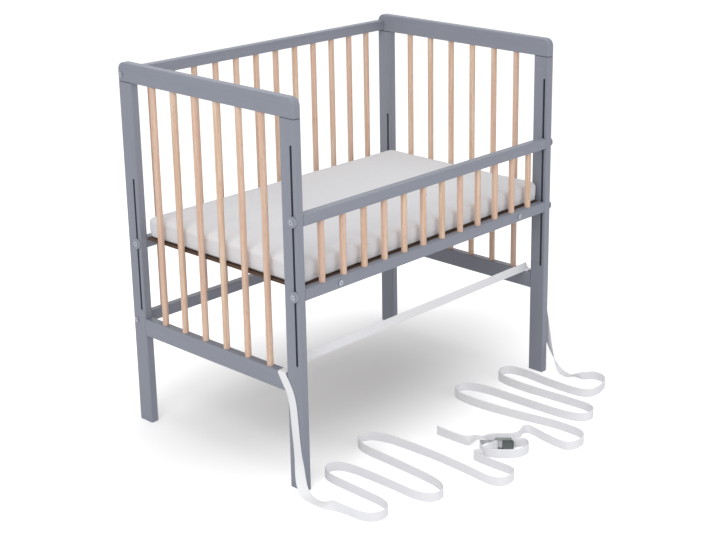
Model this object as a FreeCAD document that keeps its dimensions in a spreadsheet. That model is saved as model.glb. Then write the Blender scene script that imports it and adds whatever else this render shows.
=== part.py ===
import FreeCAD, Part
import math
import os
import re

import Sketcher

# Bedside sleeper crib. Millimetres, +Z up. X runs along the crib, Y across it: the low front
# panel is at -Y and the high back panel at +Y. The origin is on the floor, under the centre.

Vector = FreeCAD.Vector

# Every size that can be set by itself: alias, value, what it is.
SIZES = [
    ("crib_length", 955.0, "over the outer faces of the two end frames"),
    ("crib_depth", 625.0, "over the front and back faces of the posts"),
    ("crib_height", 960.0, "floor to the top of the end frames"),
    ("post_width", 22.0, "post along X"),
    ("post_depth", 48.0, "post along Y"),
    ("post_round", 3.0, "rounding of the long post edges"),
    ("top_rail_height", 48.0, "rail that crowns each end frame"),
    ("top_corner_radius", 20.0, "rounded upper corners of that rail"),
    ("joint_bevel", 1.2, "bevel on both sides of the joint between post and top rail"),
    ("end_rail_bottom", 246.0, "lower edge of the low rail of each end frame"),
    ("end_rail_height", 46.0, "height of that rail"),
    ("rail_round", 2.0, "rounding of the long rail edges"),
    ("bar_diameter", 16.0, "round bars"),
    ("bar_seat", 10.0, "depth of the blind bores that hold the bars"),
    ("end_bar_pitch", 78.0, "spacing of the bars in the end frames"),
    ("panel_bar_pitch", 71.0, "spacing of the bars in the front and back panels"),
    ("slot_width", 6.6, "slots of the posts"),
    ("front_slot_bottom", 318.0, "lower end of the front posts' slots"),
    ("front_slot_top", 852.0, "upper end of the front posts' slots"),
    ("back_slot_bottom", 313.0, "lower end of the back posts' slots"),
    ("back_slot_top", 666.0, "upper end of the back posts' slots"),
    ("slot_inset", 12.5, "front face of a front post to its slot's axis"),
    ("back_slot_inset", 13.0, "front face of a back post to its slot's axis"),
    ("panel_rail_height", 28.0, "panel rails along Z"),
    ("panel_rail_depth", 22.0, "panel rails along Y"),
    ("front_top_rail_z", 673.0, "axis of the front panel's top rail"),
    ("deck_rail_z", 493.0, "axis of the front panel's bottom rail"),
    ("rear_rail_lift", 2.0, "the rear rail's axis above the front one's"),
    ("back_panel_inset", 12.0, "back face of a back post to the axis of the back panel"),
    ("back_panel_drop", 31.0, "axis of the back panel's top rail below the crib's top"),
    ("back_bottom_rail_z", 283.0, "axis of the back panel's bottom rail"),
    ("board_thickness", 5.0, "base board"),
    ("cross_rail_width", 22.0, "cross rails along X"),
    ("cross_rail_height", 18.0, "cross rails along Z"),
    ("cross_rail_x", 341.5, "middle of the crib to the axis of a cross rail"),
    ("mattress_end_gap", 5.5, "mattress to the posts, at each end"),
    ("mattress_side_gap", 2.75, "mattress to the front rail and to the rear rail"),
    ("mattress_height", 56.0, "mattress at its crown"),
    ("mattress_corner", 42.0, "rounded corners of the mattress, seen from above"),
    ("mattress_crown", 105.0, "how far in from its edge the mattress reaches its full height"),
    ("mattress_foot", 9.0, "how far the mattress is drawn in at its foot"),
    ("dowel_diameter", 8.0, "frame dowels"),
    ("dowel_length", 38.0, "frame dowels"),
    ("dowel_spacing", 24.0, "between the two dowels of a joint"),
    ("dowel_drop", 7.0, "middle of a top dowel below its joint, to pass under the panel bolt"),
    ("bolt_diameter", 6.0, "joint bolts"),
    ("bolt_length", 62.0, "joint bolts, under the head"),
    ("bolt_head_diameter", 14.0, "flat socket heads"),
    ("bolt_head_height", 2.6, "flat socket heads"),
    ("hex_key", 4.0, "socket of the bolts, across its flats"),
    ("nut_diameter", 10.0, "barrel nuts"),
    ("nut_length", 14.0, "barrel nuts"),
    ("nut_setback", 30.0, "end of a rail to the axis of its barrel nut"),
    ("washer_diameter", 27.0, "round covers on the slots"),
    ("washer_thickness", 5.0, "round covers on the slots"),
    ("screw_diameter", 3.5, "board screws"),
    ("screw_head_diameter", 7.0, "board screws"),
    ("screw_length", 16.0, "board screws"),
    ("screw_pitch", 118.0, "board screws along a cross rail"),
    ("washer_round", 1.2, "rounded rim of the covers"),
    ("fit", 0.05, "radial clearance of dowels, bars, nuts and bolts in their bores"),
    ("run", 0.3, "clearance between pieces that move past each other"),
    ("rail_play", 0.5, "end of a sliding or bolted rail to the post"),
    ("strap_width", 25.0, "webbing"),
    ("strap_thickness", 1.5, "webbing"),
    ("buckle_length", 42.0, "buckle along the strap"),
    ("buckle_plate", 1.5, "sheet that the buckle is bent from"),
    ("buckle_side", 13.0, "cheeks of the buckle, across the strap"),
    ("buckle_play", 1.0, "cheek to the strap's edge"),
    ("buckle_pin_diameter", 4.0, "pin of the cam and bar of the sewn end"),
    ("cam_radius", 5.2, "cam of the lever"),
    ("lever_length", 25.0, "pin to the end of the lever"),
    ("lever_thickness", 2.0, "thumb plate of the lever"),
]
D = {alias: value for alias, value, note in SIZES}

doc = FreeCAD.newDocument("BedsideCrib")
sheet = doc.addObject("Spreadsheet::Sheet", "Sizes")
for row, (alias, value, note) in enumerate(SIZES, 1):
    sheet.set(f"A{row}", note)
    sheet.set(f"B{row}", str(value))
    sheet.setAlias(f"B{row}", alias)
doc.recompute()

# Places that several pieces share, as expressions on the sheet.
POST_X = "(crib_length / 2 - post_width / 2)"
POST_INNER_X = "(crib_length / 2 - post_width)"
FRONT_POST_Y = "(-crib_depth / 2 + post_depth / 2)"
BACK_POST_Y = "(crib_depth / 2 - post_depth / 2)"
FRONT_SLOT_Y = "(-crib_depth / 2 + slot_inset)"
BACK_SLOT_Y = "(crib_depth / 2 - post_depth + back_slot_inset)"
BACK_PANEL_Y = "(crib_depth / 2 - back_panel_inset)"
POST_TOP = "(crib_height - top_rail_height)"
BACK_TOP_Z = "(crib_height - back_panel_drop)"
END_RAIL_TOP = "(end_rail_bottom + end_rail_height)"
RAIL_LENGTH = "(crib_length - 2 * post_width - 2 * rail_play)"
REAR_RAIL_Z = "(deck_rail_z + rear_rail_lift)"
BOARD_TOP = "(deck_rail_z + panel_rail_height / 2)"
CROSS_RAIL_Z = "(deck_rail_z + panel_rail_height / 2 - board_thickness - cross_rail_height / 2)"
DECK_FRONT_Y = "(-crib_depth / 2 + slot_inset + panel_rail_depth / 2)"
DECK_REAR_Y = "(crib_depth / 2 - post_depth + back_slot_inset - panel_rail_depth / 2)"
CROSS_LENGTH = f"({DECK_REAR_Y} - {DECK_FRONT_Y} - 2 * run)"
CROSS_MID_Y = f"(({DECK_REAR_Y} + {DECK_FRONT_Y}) / 2)"
HEAD_X = "(crib_length / 2 + run)"
DOWEL_BORE = "(dowel_length + 2)"

END_BARS = 6
PANEL_BARS = 12
SIDES = (("left", -1), ("right", 1))

parts = []


def fx(text):
    """Returns an expression with every alias written as a cell of the sheet."""
    def cell(match):
        word = match.group(0)
        return f"Sizes.{word}" if word in D else word
    return re.sub(r"[a-z_]+", cell, text)


def bind(obj, **sizes):
    """Binds properties of an object to expressions on the sheet."""
    for name, text in sizes.items():
        obj.setExpression(name, fx(text))


def place(obj, x="0", y="0", z="0"):
    """Binds the place of an object to expressions on the sheet."""
    for axis, text in zip("xyz", (x, y, z)):
        obj.setExpression(f"Placement.Base.{axis}", fx(text))


def keep(obj):
    """Marks an object as a sub-part: it is checked and written to its own file."""
    parts.append(obj)
    return obj


def origin_feature(body, role):
    """Returns one of a body's own origin planes or axes."""
    return next(item for item in body.Origin.OriginFeatures if item.Role == role)


def new_sketch(body, plane, name, offset=("0", "0", "0")):
    """Adds a sketch on one of the body's own planes, moved by bound offsets."""
    sketch = body.newObject("Sketcher::SketchObject", name)
    sketch.AttachmentSupport = [(origin_feature(body, plane), "")]
    sketch.MapMode = "FlatFace"
    for axis, text in zip("xyz", offset):
        if text != "0":
            sketch.setExpression(f"AttachmentOffset.Base.{axis}", fx(text))
    return sketch


def bound_constraint(sketch, name, text, *args):
    """Adds a driving constraint whose value is an expression on the sheet."""
    index = sketch.addConstraint(Sketcher.Constraint(*args))
    sketch.renameConstraint(index, name)
    sketch.setExpression(f"Constraints.{name}", fx(text))


def rectangle(body, plane, name, wide, high, offset=("0", "0", "0")):
    """Sketches a rectangle centred on the sketch's origin."""
    sketch = new_sketch(body, plane, name, offset)
    corners = [Vector(-5, -5, 0), Vector(5, -5, 0), Vector(5, 5, 0), Vector(-5, 5, 0)]
    for index in range(4):
        sketch.addGeometry(Part.LineSegment(corners[index], corners[(index + 1) % 4]), False)
    for index in range(4):
        joined = (index, 2, (index + 1) % 4, 1)
        sketch.addConstraint(Sketcher.Constraint("Coincident", *joined))
    for index in (0, 2):
        sketch.addConstraint(Sketcher.Constraint("Horizontal", index))
        sketch.addConstraint(Sketcher.Constraint("Vertical", index + 1))
    sketch.addConstraint(Sketcher.Constraint("Symmetric", 0, 1, 1, 2, -1, 1))
    bound_constraint(sketch, "wide", wide, "DistanceX", 0, 1, 0, 2, 10.0)
    bound_constraint(sketch, "high", high, "DistanceY", 1, 1, 1, 2, 10.0)
    return sketch


def circle(body, plane, name, radius, offset=("0", "0", "0")):
    """Sketches a circle centred on the sketch's origin."""
    sketch = new_sketch(body, plane, name, offset)
    sketch.addGeometry(Part.Circle(Vector(0, 0, 0), Vector(0, 0, 1), 4), False)
    sketch.addConstraint(Sketcher.Constraint("Coincident", 0, 3, -1, 1))
    bound_constraint(sketch, "radius", radius, "Radius", 0, 4.0)
    return sketch


def upright_slot(body, plane, name, width, length, offset):
    """Sketches a slot with round ends, upright and centred on the sketch's origin."""
    sketch = new_sketch(body, plane, name, offset)
    upper = Part.Circle(Vector(0, 20, 0), Vector(0, 0, 1), 3)
    lower = Part.Circle(Vector(0, -20, 0), Vector(0, 0, 1), 3)
    sketch.addGeometry(Part.ArcOfCircle(upper, 0, math.pi), False)
    sketch.addGeometry(Part.LineSegment(Vector(-3, 20, 0), Vector(-3, -20, 0)), False)
    sketch.addGeometry(Part.ArcOfCircle(lower, math.pi, 2 * math.pi), False)
    sketch.addGeometry(Part.LineSegment(Vector(3, -20, 0), Vector(3, 20, 0)), False)
    for first, second in (((0, 2), (1, 1)), ((1, 2), (2, 1)), ((2, 2), (3, 1)), ((3, 2), (0, 1))):
        sketch.addConstraint(Sketcher.Constraint("Tangent", *first, *second))
    sketch.addConstraint(Sketcher.Constraint("Vertical", 1))
    sketch.addConstraint(Sketcher.Constraint("Vertical", 3))
    sketch.addConstraint(Sketcher.Constraint("Symmetric", 0, 3, 2, 3, -1, 1))
    bound_constraint(sketch, "radius", f"{width} / 2", "Radius", 0, 3.0)
    bound_constraint(sketch, "span", f"{length} - {width}", "DistanceY", 2, 3, 0, 3, 40.0)
    return sketch


def pad(body, sketch, length, both_ways=True):
    """Pads a sketch, by half the length to each side or the whole length to one."""
    feature = body.newObject("PartDesign::Pad", sketch.Name + "_pad")
    feature.Profile = sketch
    feature.Midplane = both_ways
    bind(feature, Length=length)
    doc.recompute()
    return feature


def pocket(body, sketch, length):
    """Cuts a sketch out of its body, by half the length to each side of its plane."""
    before = body.Shape.Volume
    feature = body.newObject("PartDesign::Pocket", sketch.Name + "_cut")
    feature.Profile = sketch
    feature.Midplane = True
    bind(feature, Length=length)
    doc.recompute()
    if body.Shape.Volume >= before:
        raise ValueError(f"{body.Label}: {sketch.Name} cuts nothing")
    return feature


def row_of(body, feature, axis, pitch, count):
    """Repeats a cut along one of the body's axes."""
    pattern = body.newObject("PartDesign::LinearPattern", feature.Name + "_row")
    pattern.Originals = [feature]
    pattern.Direction = (origin_feature(body, axis), [""])
    bind(pattern, Length=f"{pitch} * {count - 1}")
    pattern.Occurrences = count
    body.Tip = pattern
    doc.recompute()
    return pattern


def edges_along(shape, axis, choose=None):
    """Names the straight edges of a shape that run along an axis and pass a test."""
    names = []
    for index, edge in enumerate(shape.Edges, 1):
        if edge.Curve.TypeId != "Part::GeomLine":
            continue
        run = edge.tangentAt(edge.FirstParameter)
        if abs(getattr(run, axis)) < 0.999:
            continue
        if choose is None or choose(edge.CenterOfMass):
            names.append(f"Edge{index}")
    return names


def fillet(body, base, radius, names):
    """Rounds named edges of a body."""
    feature = body.newObject("PartDesign::Fillet", base.Name + "_round")
    feature.Base = (base, names)
    bind(feature, Radius=radius)
    doc.recompute()
    return feature


def chamfer(body, base, size, names):
    """Bevels named edges of a body."""
    feature = body.newObject("PartDesign::Chamfer", base.Name + "_bevel")
    feature.Base = (base, names)
    bind(feature, Size=size)
    doc.recompute()
    return feature


def new_body(label):
    """Starts a body that becomes one sub-part."""
    body = doc.addObject("PartDesign::Body", label)
    body.Label = label
    return keep(body)


def group(label, members):
    """Joins separate solids of one kind in one sub-part."""
    compound = doc.addObject("Part::Compound", label)
    compound.Label = label
    compound.Links = members
    doc.recompute()
    return keep(compound)


def solid(label, shape):
    """Makes a sub-part from a shape that is worked out here."""
    feature = doc.addObject("Part::Feature", label)
    feature.Label = label
    feature.Shape = shape
    feature.Placement = FreeCAD.Placement()
    return keep(feature)


def rod(name, radius, height, x, y, z, towards="z"):
    """Adds a cylinder that starts at a point and runs along +X, +Y or +Z."""
    cylinder = doc.addObject("Part::Cylinder", name)
    bind(cylinder, Radius=radius, Height=height)
    turns = {"x": (Vector(0, 1, 0), 90), "y": (Vector(1, 0, 0), -90), "z": (Vector(0, 0, 1), 0)}
    cylinder.Placement = FreeCAD.Placement(Vector(0, 0, 0), FreeCAD.Rotation(*turns[towards]))
    place(cylinder, x, y, z)
    return cylinder


# --------------------------------------------------------------------------- end frames

def dowel_offset(number):
    """Returns the place of one of a joint's two dowels from the joint's middle."""
    return f"({(-0.5, 0.5)[number]} * dowel_spacing)"


def make_post(label, side, row):
    """Makes a post: slot for the clamp bolts, dowel bores on top and for the low rail."""
    front = row == "front"
    post_y = FRONT_POST_Y if front else BACK_POST_Y
    slot_y = FRONT_SLOT_Y if front else BACK_SLOT_Y
    inward = 1 if front else -1
    body = new_body(label)
    block = pad(body, rectangle(body, "XY_Plane", "section", "post_width", "post_depth"),
                POST_TOP, both_ways=False)
    rounded = fillet(body, block, "post_round", edges_along(body.Shape, "z"))
    top = [f"Edge{index}" for index, edge in enumerate(body.Shape.Edges, 1)
           if abs(edge.BoundBox.ZMin - body.Shape.BoundBox.ZMax) < 0.01]
    chamfer(body, rounded, "joint_bevel", top)
    low, high = f"{row}_slot_bottom", f"{row}_slot_top"
    slot = upright_slot(body, "YZ_Plane", "slot", "slot_width", f"({high} - {low})",
                        (f"{slot_y} - {post_y}", f"({high} + {low}) / 2", "0"))
    pocket(body, slot, "2 * post_width")
    for number in range(2):
        shift = dowel_offset(number)
        bore = circle(body, "XY_Plane", f"top_dowel_{number}", "dowel_diameter / 2 + fit",
                      ("0", shift, POST_TOP))
        pocket(body, bore, f"{DOWEL_BORE} + 2 * dowel_drop")
        bore = circle(body, "XZ_Plane", f"rail_dowel_{number}", "dowel_diameter / 2 + fit",
                      ("0", f"{END_RAIL_TOP} - end_rail_height / 2 + {shift}",
                       f"{-inward} * post_depth / 2"))
        pocket(body, bore, DOWEL_BORE)
    if not front:
        hole = circle(body, "YZ_Plane", "panel_bolt", "bolt_diameter / 2 + fit",
                      (f"{BACK_PANEL_Y} - {post_y}", "back_bottom_rail_z", "0"))
        pocket(body, hole, "2 * post_width")
    place(body, f"{side} * {POST_X}", post_y)
    return body


def make_top_rail(label, side):
    """Makes the crowning rail of an end frame, with rounded corners and blind bores."""
    body = new_body(label)
    middle = "(crib_height - top_rail_height / 2)"
    block = pad(body, rectangle(body, "YZ_Plane", "section", "crib_depth", "top_rail_height"),
                "post_width")
    corners = edges_along(body.Shape, "x", lambda point: point.z > 0)
    corner = fillet(body, block, "top_corner_radius", corners)
    faces = body.Shape.BoundBox
    rims = [f"Edge{index}" for index, edge in enumerate(body.Shape.Edges, 1)
            if abs(edge.BoundBox.XMax - edge.BoundBox.XMin) < 0.01
            and edge.BoundBox.ZMax > faces.ZMin + 0.5]
    rounded = fillet(body, corner, "post_round", rims)
    lower = [f"Edge{index}" for index, edge in enumerate(body.Shape.Edges, 1)
             if edge.BoundBox.ZMax < faces.ZMin + 0.01]
    chamfer(body, rounded, "joint_bevel", lower)
    under = "-top_rail_height / 2"
    bore = circle(body, "XY_Plane", "bar_bore", "bar_diameter / 2 + fit",
                  ("0", f"{-(END_BARS - 1) / 2} * end_bar_pitch", under))
    row_of(body, pocket(body, bore, "2 * (bar_seat + run)"), "Y_Axis", "end_bar_pitch", END_BARS)
    for row, post_y in (("front", FRONT_POST_Y), ("back", BACK_POST_Y)):
        for number in range(2):
            hole = circle(body, "XY_Plane", f"{row}_dowel_{number}", "dowel_diameter / 2 + fit",
                          ("0", f"{post_y} + {dowel_offset(number)}", under))
            pocket(body, hole, f"{DOWEL_BORE} - 2 * dowel_drop")
    hole = circle(body, "YZ_Plane", "panel_bolt", "bolt_diameter / 2 + fit",
                  (BACK_PANEL_Y, f"{BACK_TOP_Z} - {middle}", "0"))
    pocket(body, hole, "2 * post_width")
    place(body, f"{side} * {POST_X}", "0", middle)
    return body


def make_end_bottom_rail(label, side):
    """Makes the low rail of an end frame, between its two posts."""
    body = new_body(label)
    length = "(crib_depth - 2 * post_depth)"
    block = pad(body, rectangle(body, "XZ_Plane", "section", "post_width", "end_rail_height"),
                length)
    fillet(body, block, "rail_round", edges_along(body.Shape, "y"))
    bore = circle(body, "XY_Plane", "bar_bore", "bar_diameter / 2 + fit",
                  ("0", f"{-(END_BARS - 1) / 2} * end_bar_pitch", "end_rail_height / 2"))
    row_of(body, pocket(body, bore, "2 * (bar_seat + run)"), "Y_Axis", "end_bar_pitch", END_BARS)
    for end in (-1, 1):
        for number in range(2):
            hole = circle(body, "XZ_Plane", f"dowel_{end + 1}{number}",
                          "dowel_diameter / 2 + fit",
                          ("0", dowel_offset(number), f"{end} * {length} / 2"))
            pocket(body, hole, DOWEL_BORE)
    place(body, f"{side} * {POST_X}", "0", "end_rail_bottom + end_rail_height / 2")
    return body


def make_end_bars(label, side):
    """Makes the six round bars of an end frame, seated in their bores."""
    foot = f"({END_RAIL_TOP} - bar_seat)"
    bars = []
    for number in range(END_BARS):
        along = f"{number - (END_BARS - 1) / 2} * end_bar_pitch"
        bars.append(rod(f"{label}_{number}", "bar_diameter / 2",
                        f"{POST_TOP} + bar_seat - {foot}", f"{side} * {POST_X}", along, foot))
    return group(label, bars)


def make_dowels():
    """Makes the dowels that join posts and rails of both end frames."""
    dowels = []
    middle = "(end_rail_bottom + end_rail_height / 2)"
    for name, side in SIDES:
        for row, post_y, seam in (("front", FRONT_POST_Y, "(-crib_depth / 2 + post_depth)"),
                                  ("back", BACK_POST_Y, "(crib_depth / 2 - post_depth)")):
            for number in range(2):
                shift = dowel_offset(number)
                dowels.append(rod(f"dowel_{name}_{row}_top_{number}", "dowel_diameter / 2",
                                  "dowel_length", f"{side} * {POST_X}", f"{post_y} + {shift}",
                                  f"{POST_TOP} - dowel_length / 2 - dowel_drop"))
                dowels.append(rod(f"dowel_{name}_{row}_low_{number}", "dowel_diameter / 2",
                                  "dowel_length", f"{side} * {POST_X}",
                                  f"{seam} - dowel_length / 2", f"{middle} + {shift}", "y"))
    return group("frame_dowels", dowels)


# --------------------------------------------------------------------------- panels and deck

def make_panel_rail(label, y, z, bores, clearance="rail_play"):
    """Makes a rail along the crib: bores for bars, bolts at its ends and their barrel nuts.

    bores is 1 for bars that rise from the rail, -1 for bars that hang below it, 0 for none.
    """
    body = new_body(label)
    length = f"(crib_length - 2 * post_width - 2 * {clearance})"
    block = pad(body, rectangle(body, "YZ_Plane", "section", "panel_rail_depth",
                                "panel_rail_height"), length)
    fillet(body, block, "rail_round", edges_along(body.Shape, "x"))
    if bores:
        bore = circle(body, "XY_Plane", "bar_bore", "bar_diameter / 2 + fit",
                      (f"{-(PANEL_BARS - 1) / 2} * panel_bar_pitch", "0",
                       f"{bores} * panel_rail_height / 2"))
        row_of(body, pocket(body, bore, "2 * (bar_seat + run)"), "X_Axis", "panel_bar_pitch",
               PANEL_BARS)
    for end in (-1, 1):
        hole = circle(body, "YZ_Plane", f"bolt_bore_{end + 1}", "bolt_diameter / 2 + fit",
                      ("0", "0", f"{end} * {length} / 2"))
        pocket(body, hole, "2 * (bolt_length - post_width + 4)")
        hole = circle(body, "XZ_Plane", f"nut_bore_{end + 1}", "nut_diameter / 2 + fit",
                      (f"{end} * ({POST_INNER_X} - nut_setback)", "0", "-panel_rail_depth / 2"))
        pocket(body, hole, "panel_rail_depth + nut_length + 2 * run")
    place(body, "0", y, z)
    return body


def bore_for_cross_bolts(body, rail_z):
    """Bores a deck rail through from front to back for the two cross rail bolts."""
    for end in (-1, 1):
        hole = circle(body, "XZ_Plane", f"cross_bolt_{end + 1}", "bolt_diameter / 2 + fit",
                      (f"{end} * cross_rail_x", f"{CROSS_RAIL_Z} - {rail_z}", "0"))
        pocket(body, hole, "2 * panel_rail_depth")


def make_panel_bars(label, y, bottom, top):
    """Makes the twelve round bars of a panel, seated in both of its rails."""
    foot = f"({bottom} + panel_rail_height / 2 - bar_seat)"
    height = f"({top} - panel_rail_height / 2 + bar_seat - {foot})"
    bars = []
    for number in range(PANEL_BARS):
        along = f"{number - (PANEL_BARS - 1) / 2} * panel_bar_pitch"
        bars.append(rod(f"{label}_{number}", "bar_diameter / 2", height, along, y, foot))
    return group(label, bars)


def make_cross_rails():
    """Makes the two rails that carry the base board, with bores for their bolts and nuts."""
    rails = []
    for name, side in SIDES:
        block = doc.addObject("Part::Box", f"cross_block_{name}")
        bind(block, Length="cross_rail_width", Width=CROSS_LENGTH, Height="cross_rail_height")
        place(block, f"{side} * cross_rail_x - cross_rail_width / 2",
              f"{CROSS_MID_Y} - {CROSS_LENGTH} / 2", f"{CROSS_RAIL_Z} - cross_rail_height / 2")
        tools = []
        for end in (-1, 1):
            face = f"({CROSS_MID_Y} + {end} * {CROSS_LENGTH} / 2)"
            start = f"{face} - bolt_length"
            tools.append(rod(f"cross_bore_{name}_{end + 1}", "bolt_diameter / 2 + fit",
                             "2 * bolt_length", f"{side} * cross_rail_x", start, CROSS_RAIL_Z,
                             "y"))
            tools.append(rod(f"cross_nut_bore_{name}_{end + 1}", "nut_diameter / 2 + fit",
                             "nut_length + 2 * run", f"{side} * cross_rail_x",
                             f"{face} - {end} * nut_setback",
                             f"{CROSS_RAIL_Z} - cross_rail_height / 2 - run"))
        for number in range(4):
            tools.append(rod(f"screw_bore_{name}_{number}", "screw_diameter / 2 + fit",
                             "screw_length", f"{side} * cross_rail_x",
                             f"{CROSS_MID_Y} + {number - 1.5} * screw_pitch",
                             f"{BOARD_TOP} - screw_length - run"))
        joined = doc.addObject("Part::MultiFuse", f"cross_bores_{name}")
        joined.Shapes = tools
        rail = doc.addObject("Part::Cut", f"cross_rail_{name}")
        rail.Base = block
        rail.Tool = joined
        rails.append(rail)
    return group("deck_cross_rails", rails)


def make_base_board():
    """Makes the thin board on the cross rails, countersunk for its screws."""
    body = new_body("base_board")
    block = pad(body, rectangle(body, "XY_Plane", "outline",
                                f"{RAIL_LENGTH} - 2 * rail_play",
                                f"{DECK_REAR_Y} - {DECK_FRONT_Y} - 2 * rail_play"),
                "board_thickness")
    fillet(body, block, "rail_round", edges_along(body.Shape, "z"))
    for end in (-1, 1):
        hole = circle(body, "XY_Plane", f"screw_{end + 1}", "screw_diameter / 2 + fit",
                      (f"{end} * cross_rail_x", "-1.5 * screw_pitch", "0"))
        row_of(body, pocket(body, hole, "2 * board_thickness"), "Y_Axis", "screw_pitch", 4)
        sink = circle(body, "XY_Plane", f"sink_{end + 1}", "screw_head_diameter / 2 + fit",
                      (f"{end} * cross_rail_x", "-1.5 * screw_pitch", "board_thickness / 2"))
        row_of(body, pocket(body, sink, "board_thickness"), "Y_Axis", "screw_pitch", 4)
    place(body, "0", CROSS_MID_Y, f"{BOARD_TOP} - board_thickness / 2")
    return body


def make_board_screws():
    """Makes the screws of the base board: a shank and a flat head in the sink."""
    screws = []
    for name, side in SIDES:
        for number in range(4):
            at = (f"{side} * cross_rail_x", f"{CROSS_MID_Y} + {number - 1.5} * screw_pitch")
            shank = rod(f"screw_shank_{name}_{number}", "screw_diameter / 2",
                        "screw_length - board_thickness / 2", *at,
                        f"{BOARD_TOP} - screw_length")
            head = rod(f"screw_head_{name}_{number}", "screw_head_diameter / 2",
                       "board_thickness / 2 - run", *at, f"{BOARD_TOP} - board_thickness / 2")
            screw = doc.addObject("Part::Fuse", f"screw_{name}_{number}")
            screw.Base = shank
            screw.Tool = head
            screws.append(screw)
    return group("board_screws", screws)


def rounded_outline(length, depth, radius, x, y, z):
    """Returns a rounded rectangle as a closed wire of lines and quarter arcs."""
    half_x = length / 2 - radius
    half_y = depth / 2 - radius
    edges = []
    for quarter, (sign_x, sign_y) in enumerate(((1, 1), (-1, 1), (-1, -1), (1, -1))):
        centre = Vector(x + sign_x * half_x, y + sign_y * half_y, z)
        start, end = math.radians(90 * quarter), math.radians(90 * quarter + 90)
        arc = Part.ArcOfCircle(Part.Circle(centre, Vector(0, 0, 1), radius), start, end)
        edges.append(arc.toShape())
    lines = []
    for index, edge in enumerate(edges):
        following = edges[(index + 1) % 4]
        lines.append(edge)
        lines.append(Part.LineSegment(edge.lastVertex().Point,
                                      following.firstVertex().Point).toShape())
    return Part.Wire(lines)


def make_mattress():
    """Makes the mattress: drawn in at its foot, widest at mid height, crowned on top."""
    front = -D["crib_depth"] / 2 + D["slot_inset"] + D["panel_rail_depth"] / 2
    rear = D["crib_depth"] / 2 - D["post_depth"] + D["back_slot_inset"] - D["panel_rail_depth"] / 2
    length = D["crib_length"] - 2 * D["post_width"] - 2 * D["mattress_end_gap"]
    depth = rear - front - 2 * D["mattress_side_gap"]
    floor = D["deck_rail_z"] + D["panel_rail_height"] / 2 + D["run"]
    # The widest ring lies at 0.4 of the height; above it the crown draws in like a cushion.
    rings = []
    for degrees in (-90, -55, -25, 0, 22, 42, 60, 76, 90):
        turn = math.radians(degrees)
        if degrees < 0:
            rings.append((0.4 + 0.4 * math.sin(turn), D["mattress_foot"] * (1 - math.cos(turn))))
        else:
            rings.append((0.4 + 0.6 * math.sin(turn),
                          D["mattress_crown"] * (1 - math.cos(turn)) ** 1.6))
    wires = []
    for share, drawn_in in rings:
        wires.append(rounded_outline(length - 2 * drawn_in, depth - 2 * drawn_in,
                                     D["mattress_corner"], 0, (front + rear) / 2,
                                     floor + share * D["mattress_height"]))
    return solid("mattress", Part.makeLoft(wires, True, False))


# --------------------------------------------------------------------------- hardware

def hex_prism(name, flats, height, x, y, z, towards):
    """Adds a six-sided prism, for the socket of a bolt."""
    prism = doc.addObject("Part::Prism", name)
    prism.Polygon = 6
    bind(prism, Circumradius=f"{flats} / 1.7320508", Height=height)
    turns = {"x": (Vector(0, 1, 0), 90), "y": (Vector(1, 0, 0), -90)}
    prism.Placement = FreeCAD.Placement(Vector(0, 0, 0), FreeCAD.Rotation(*turns[towards]))
    place(prism, x, y, z)
    return prism


def make_bolt(name, towards, sign, seat, other, z, length):
    """Makes a bolt: shank, flat head with a bevelled rim and a hexagon socket.

    seat is the plane under the head on the bolt's own axis, and sign points from the shank
    to the head. other is the place on the remaining level axis.
    """
    def at(value):
        return (value, other, z) if towards == "x" else (other, value, z)

    shank_start = seat if sign < 0 else f"{seat} - {length}"
    shank = rod(f"{name}_shank", "bolt_diameter / 2", length, *at(shank_start), towards)
    head_start = f"{seat} - bolt_head_height" if sign < 0 else seat
    head = rod(f"{name}_head", "bolt_head_diameter / 2", "bolt_head_height", *at(head_start),
               towards)
    depth = "(0.6 * bolt_head_height)"
    socket_start = (f"{seat} - bolt_head_height" if sign < 0
                    else f"{seat} + bolt_head_height - {depth}")
    socket = hex_prism(f"{name}_socket", "hex_key", depth, *at(socket_start), towards)
    body = doc.addObject("Part::Fuse", f"{name}_blank")
    body.Base = shank
    body.Tool = head
    bolt = doc.addObject("Part::Cut", name)
    bolt.Base = body
    bolt.Tool = socket
    return bolt


CLAMPS = (("front_high", FRONT_SLOT_Y, "front_top_rail_z"), ("front_low", FRONT_SLOT_Y,
          "deck_rail_z"), ("rear", BACK_SLOT_Y, REAR_RAIL_Z))
PANEL_BOLTS = (("high", BACK_PANEL_Y, BACK_TOP_Z), ("low", BACK_PANEL_Y,
               "back_bottom_rail_z"))


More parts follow.
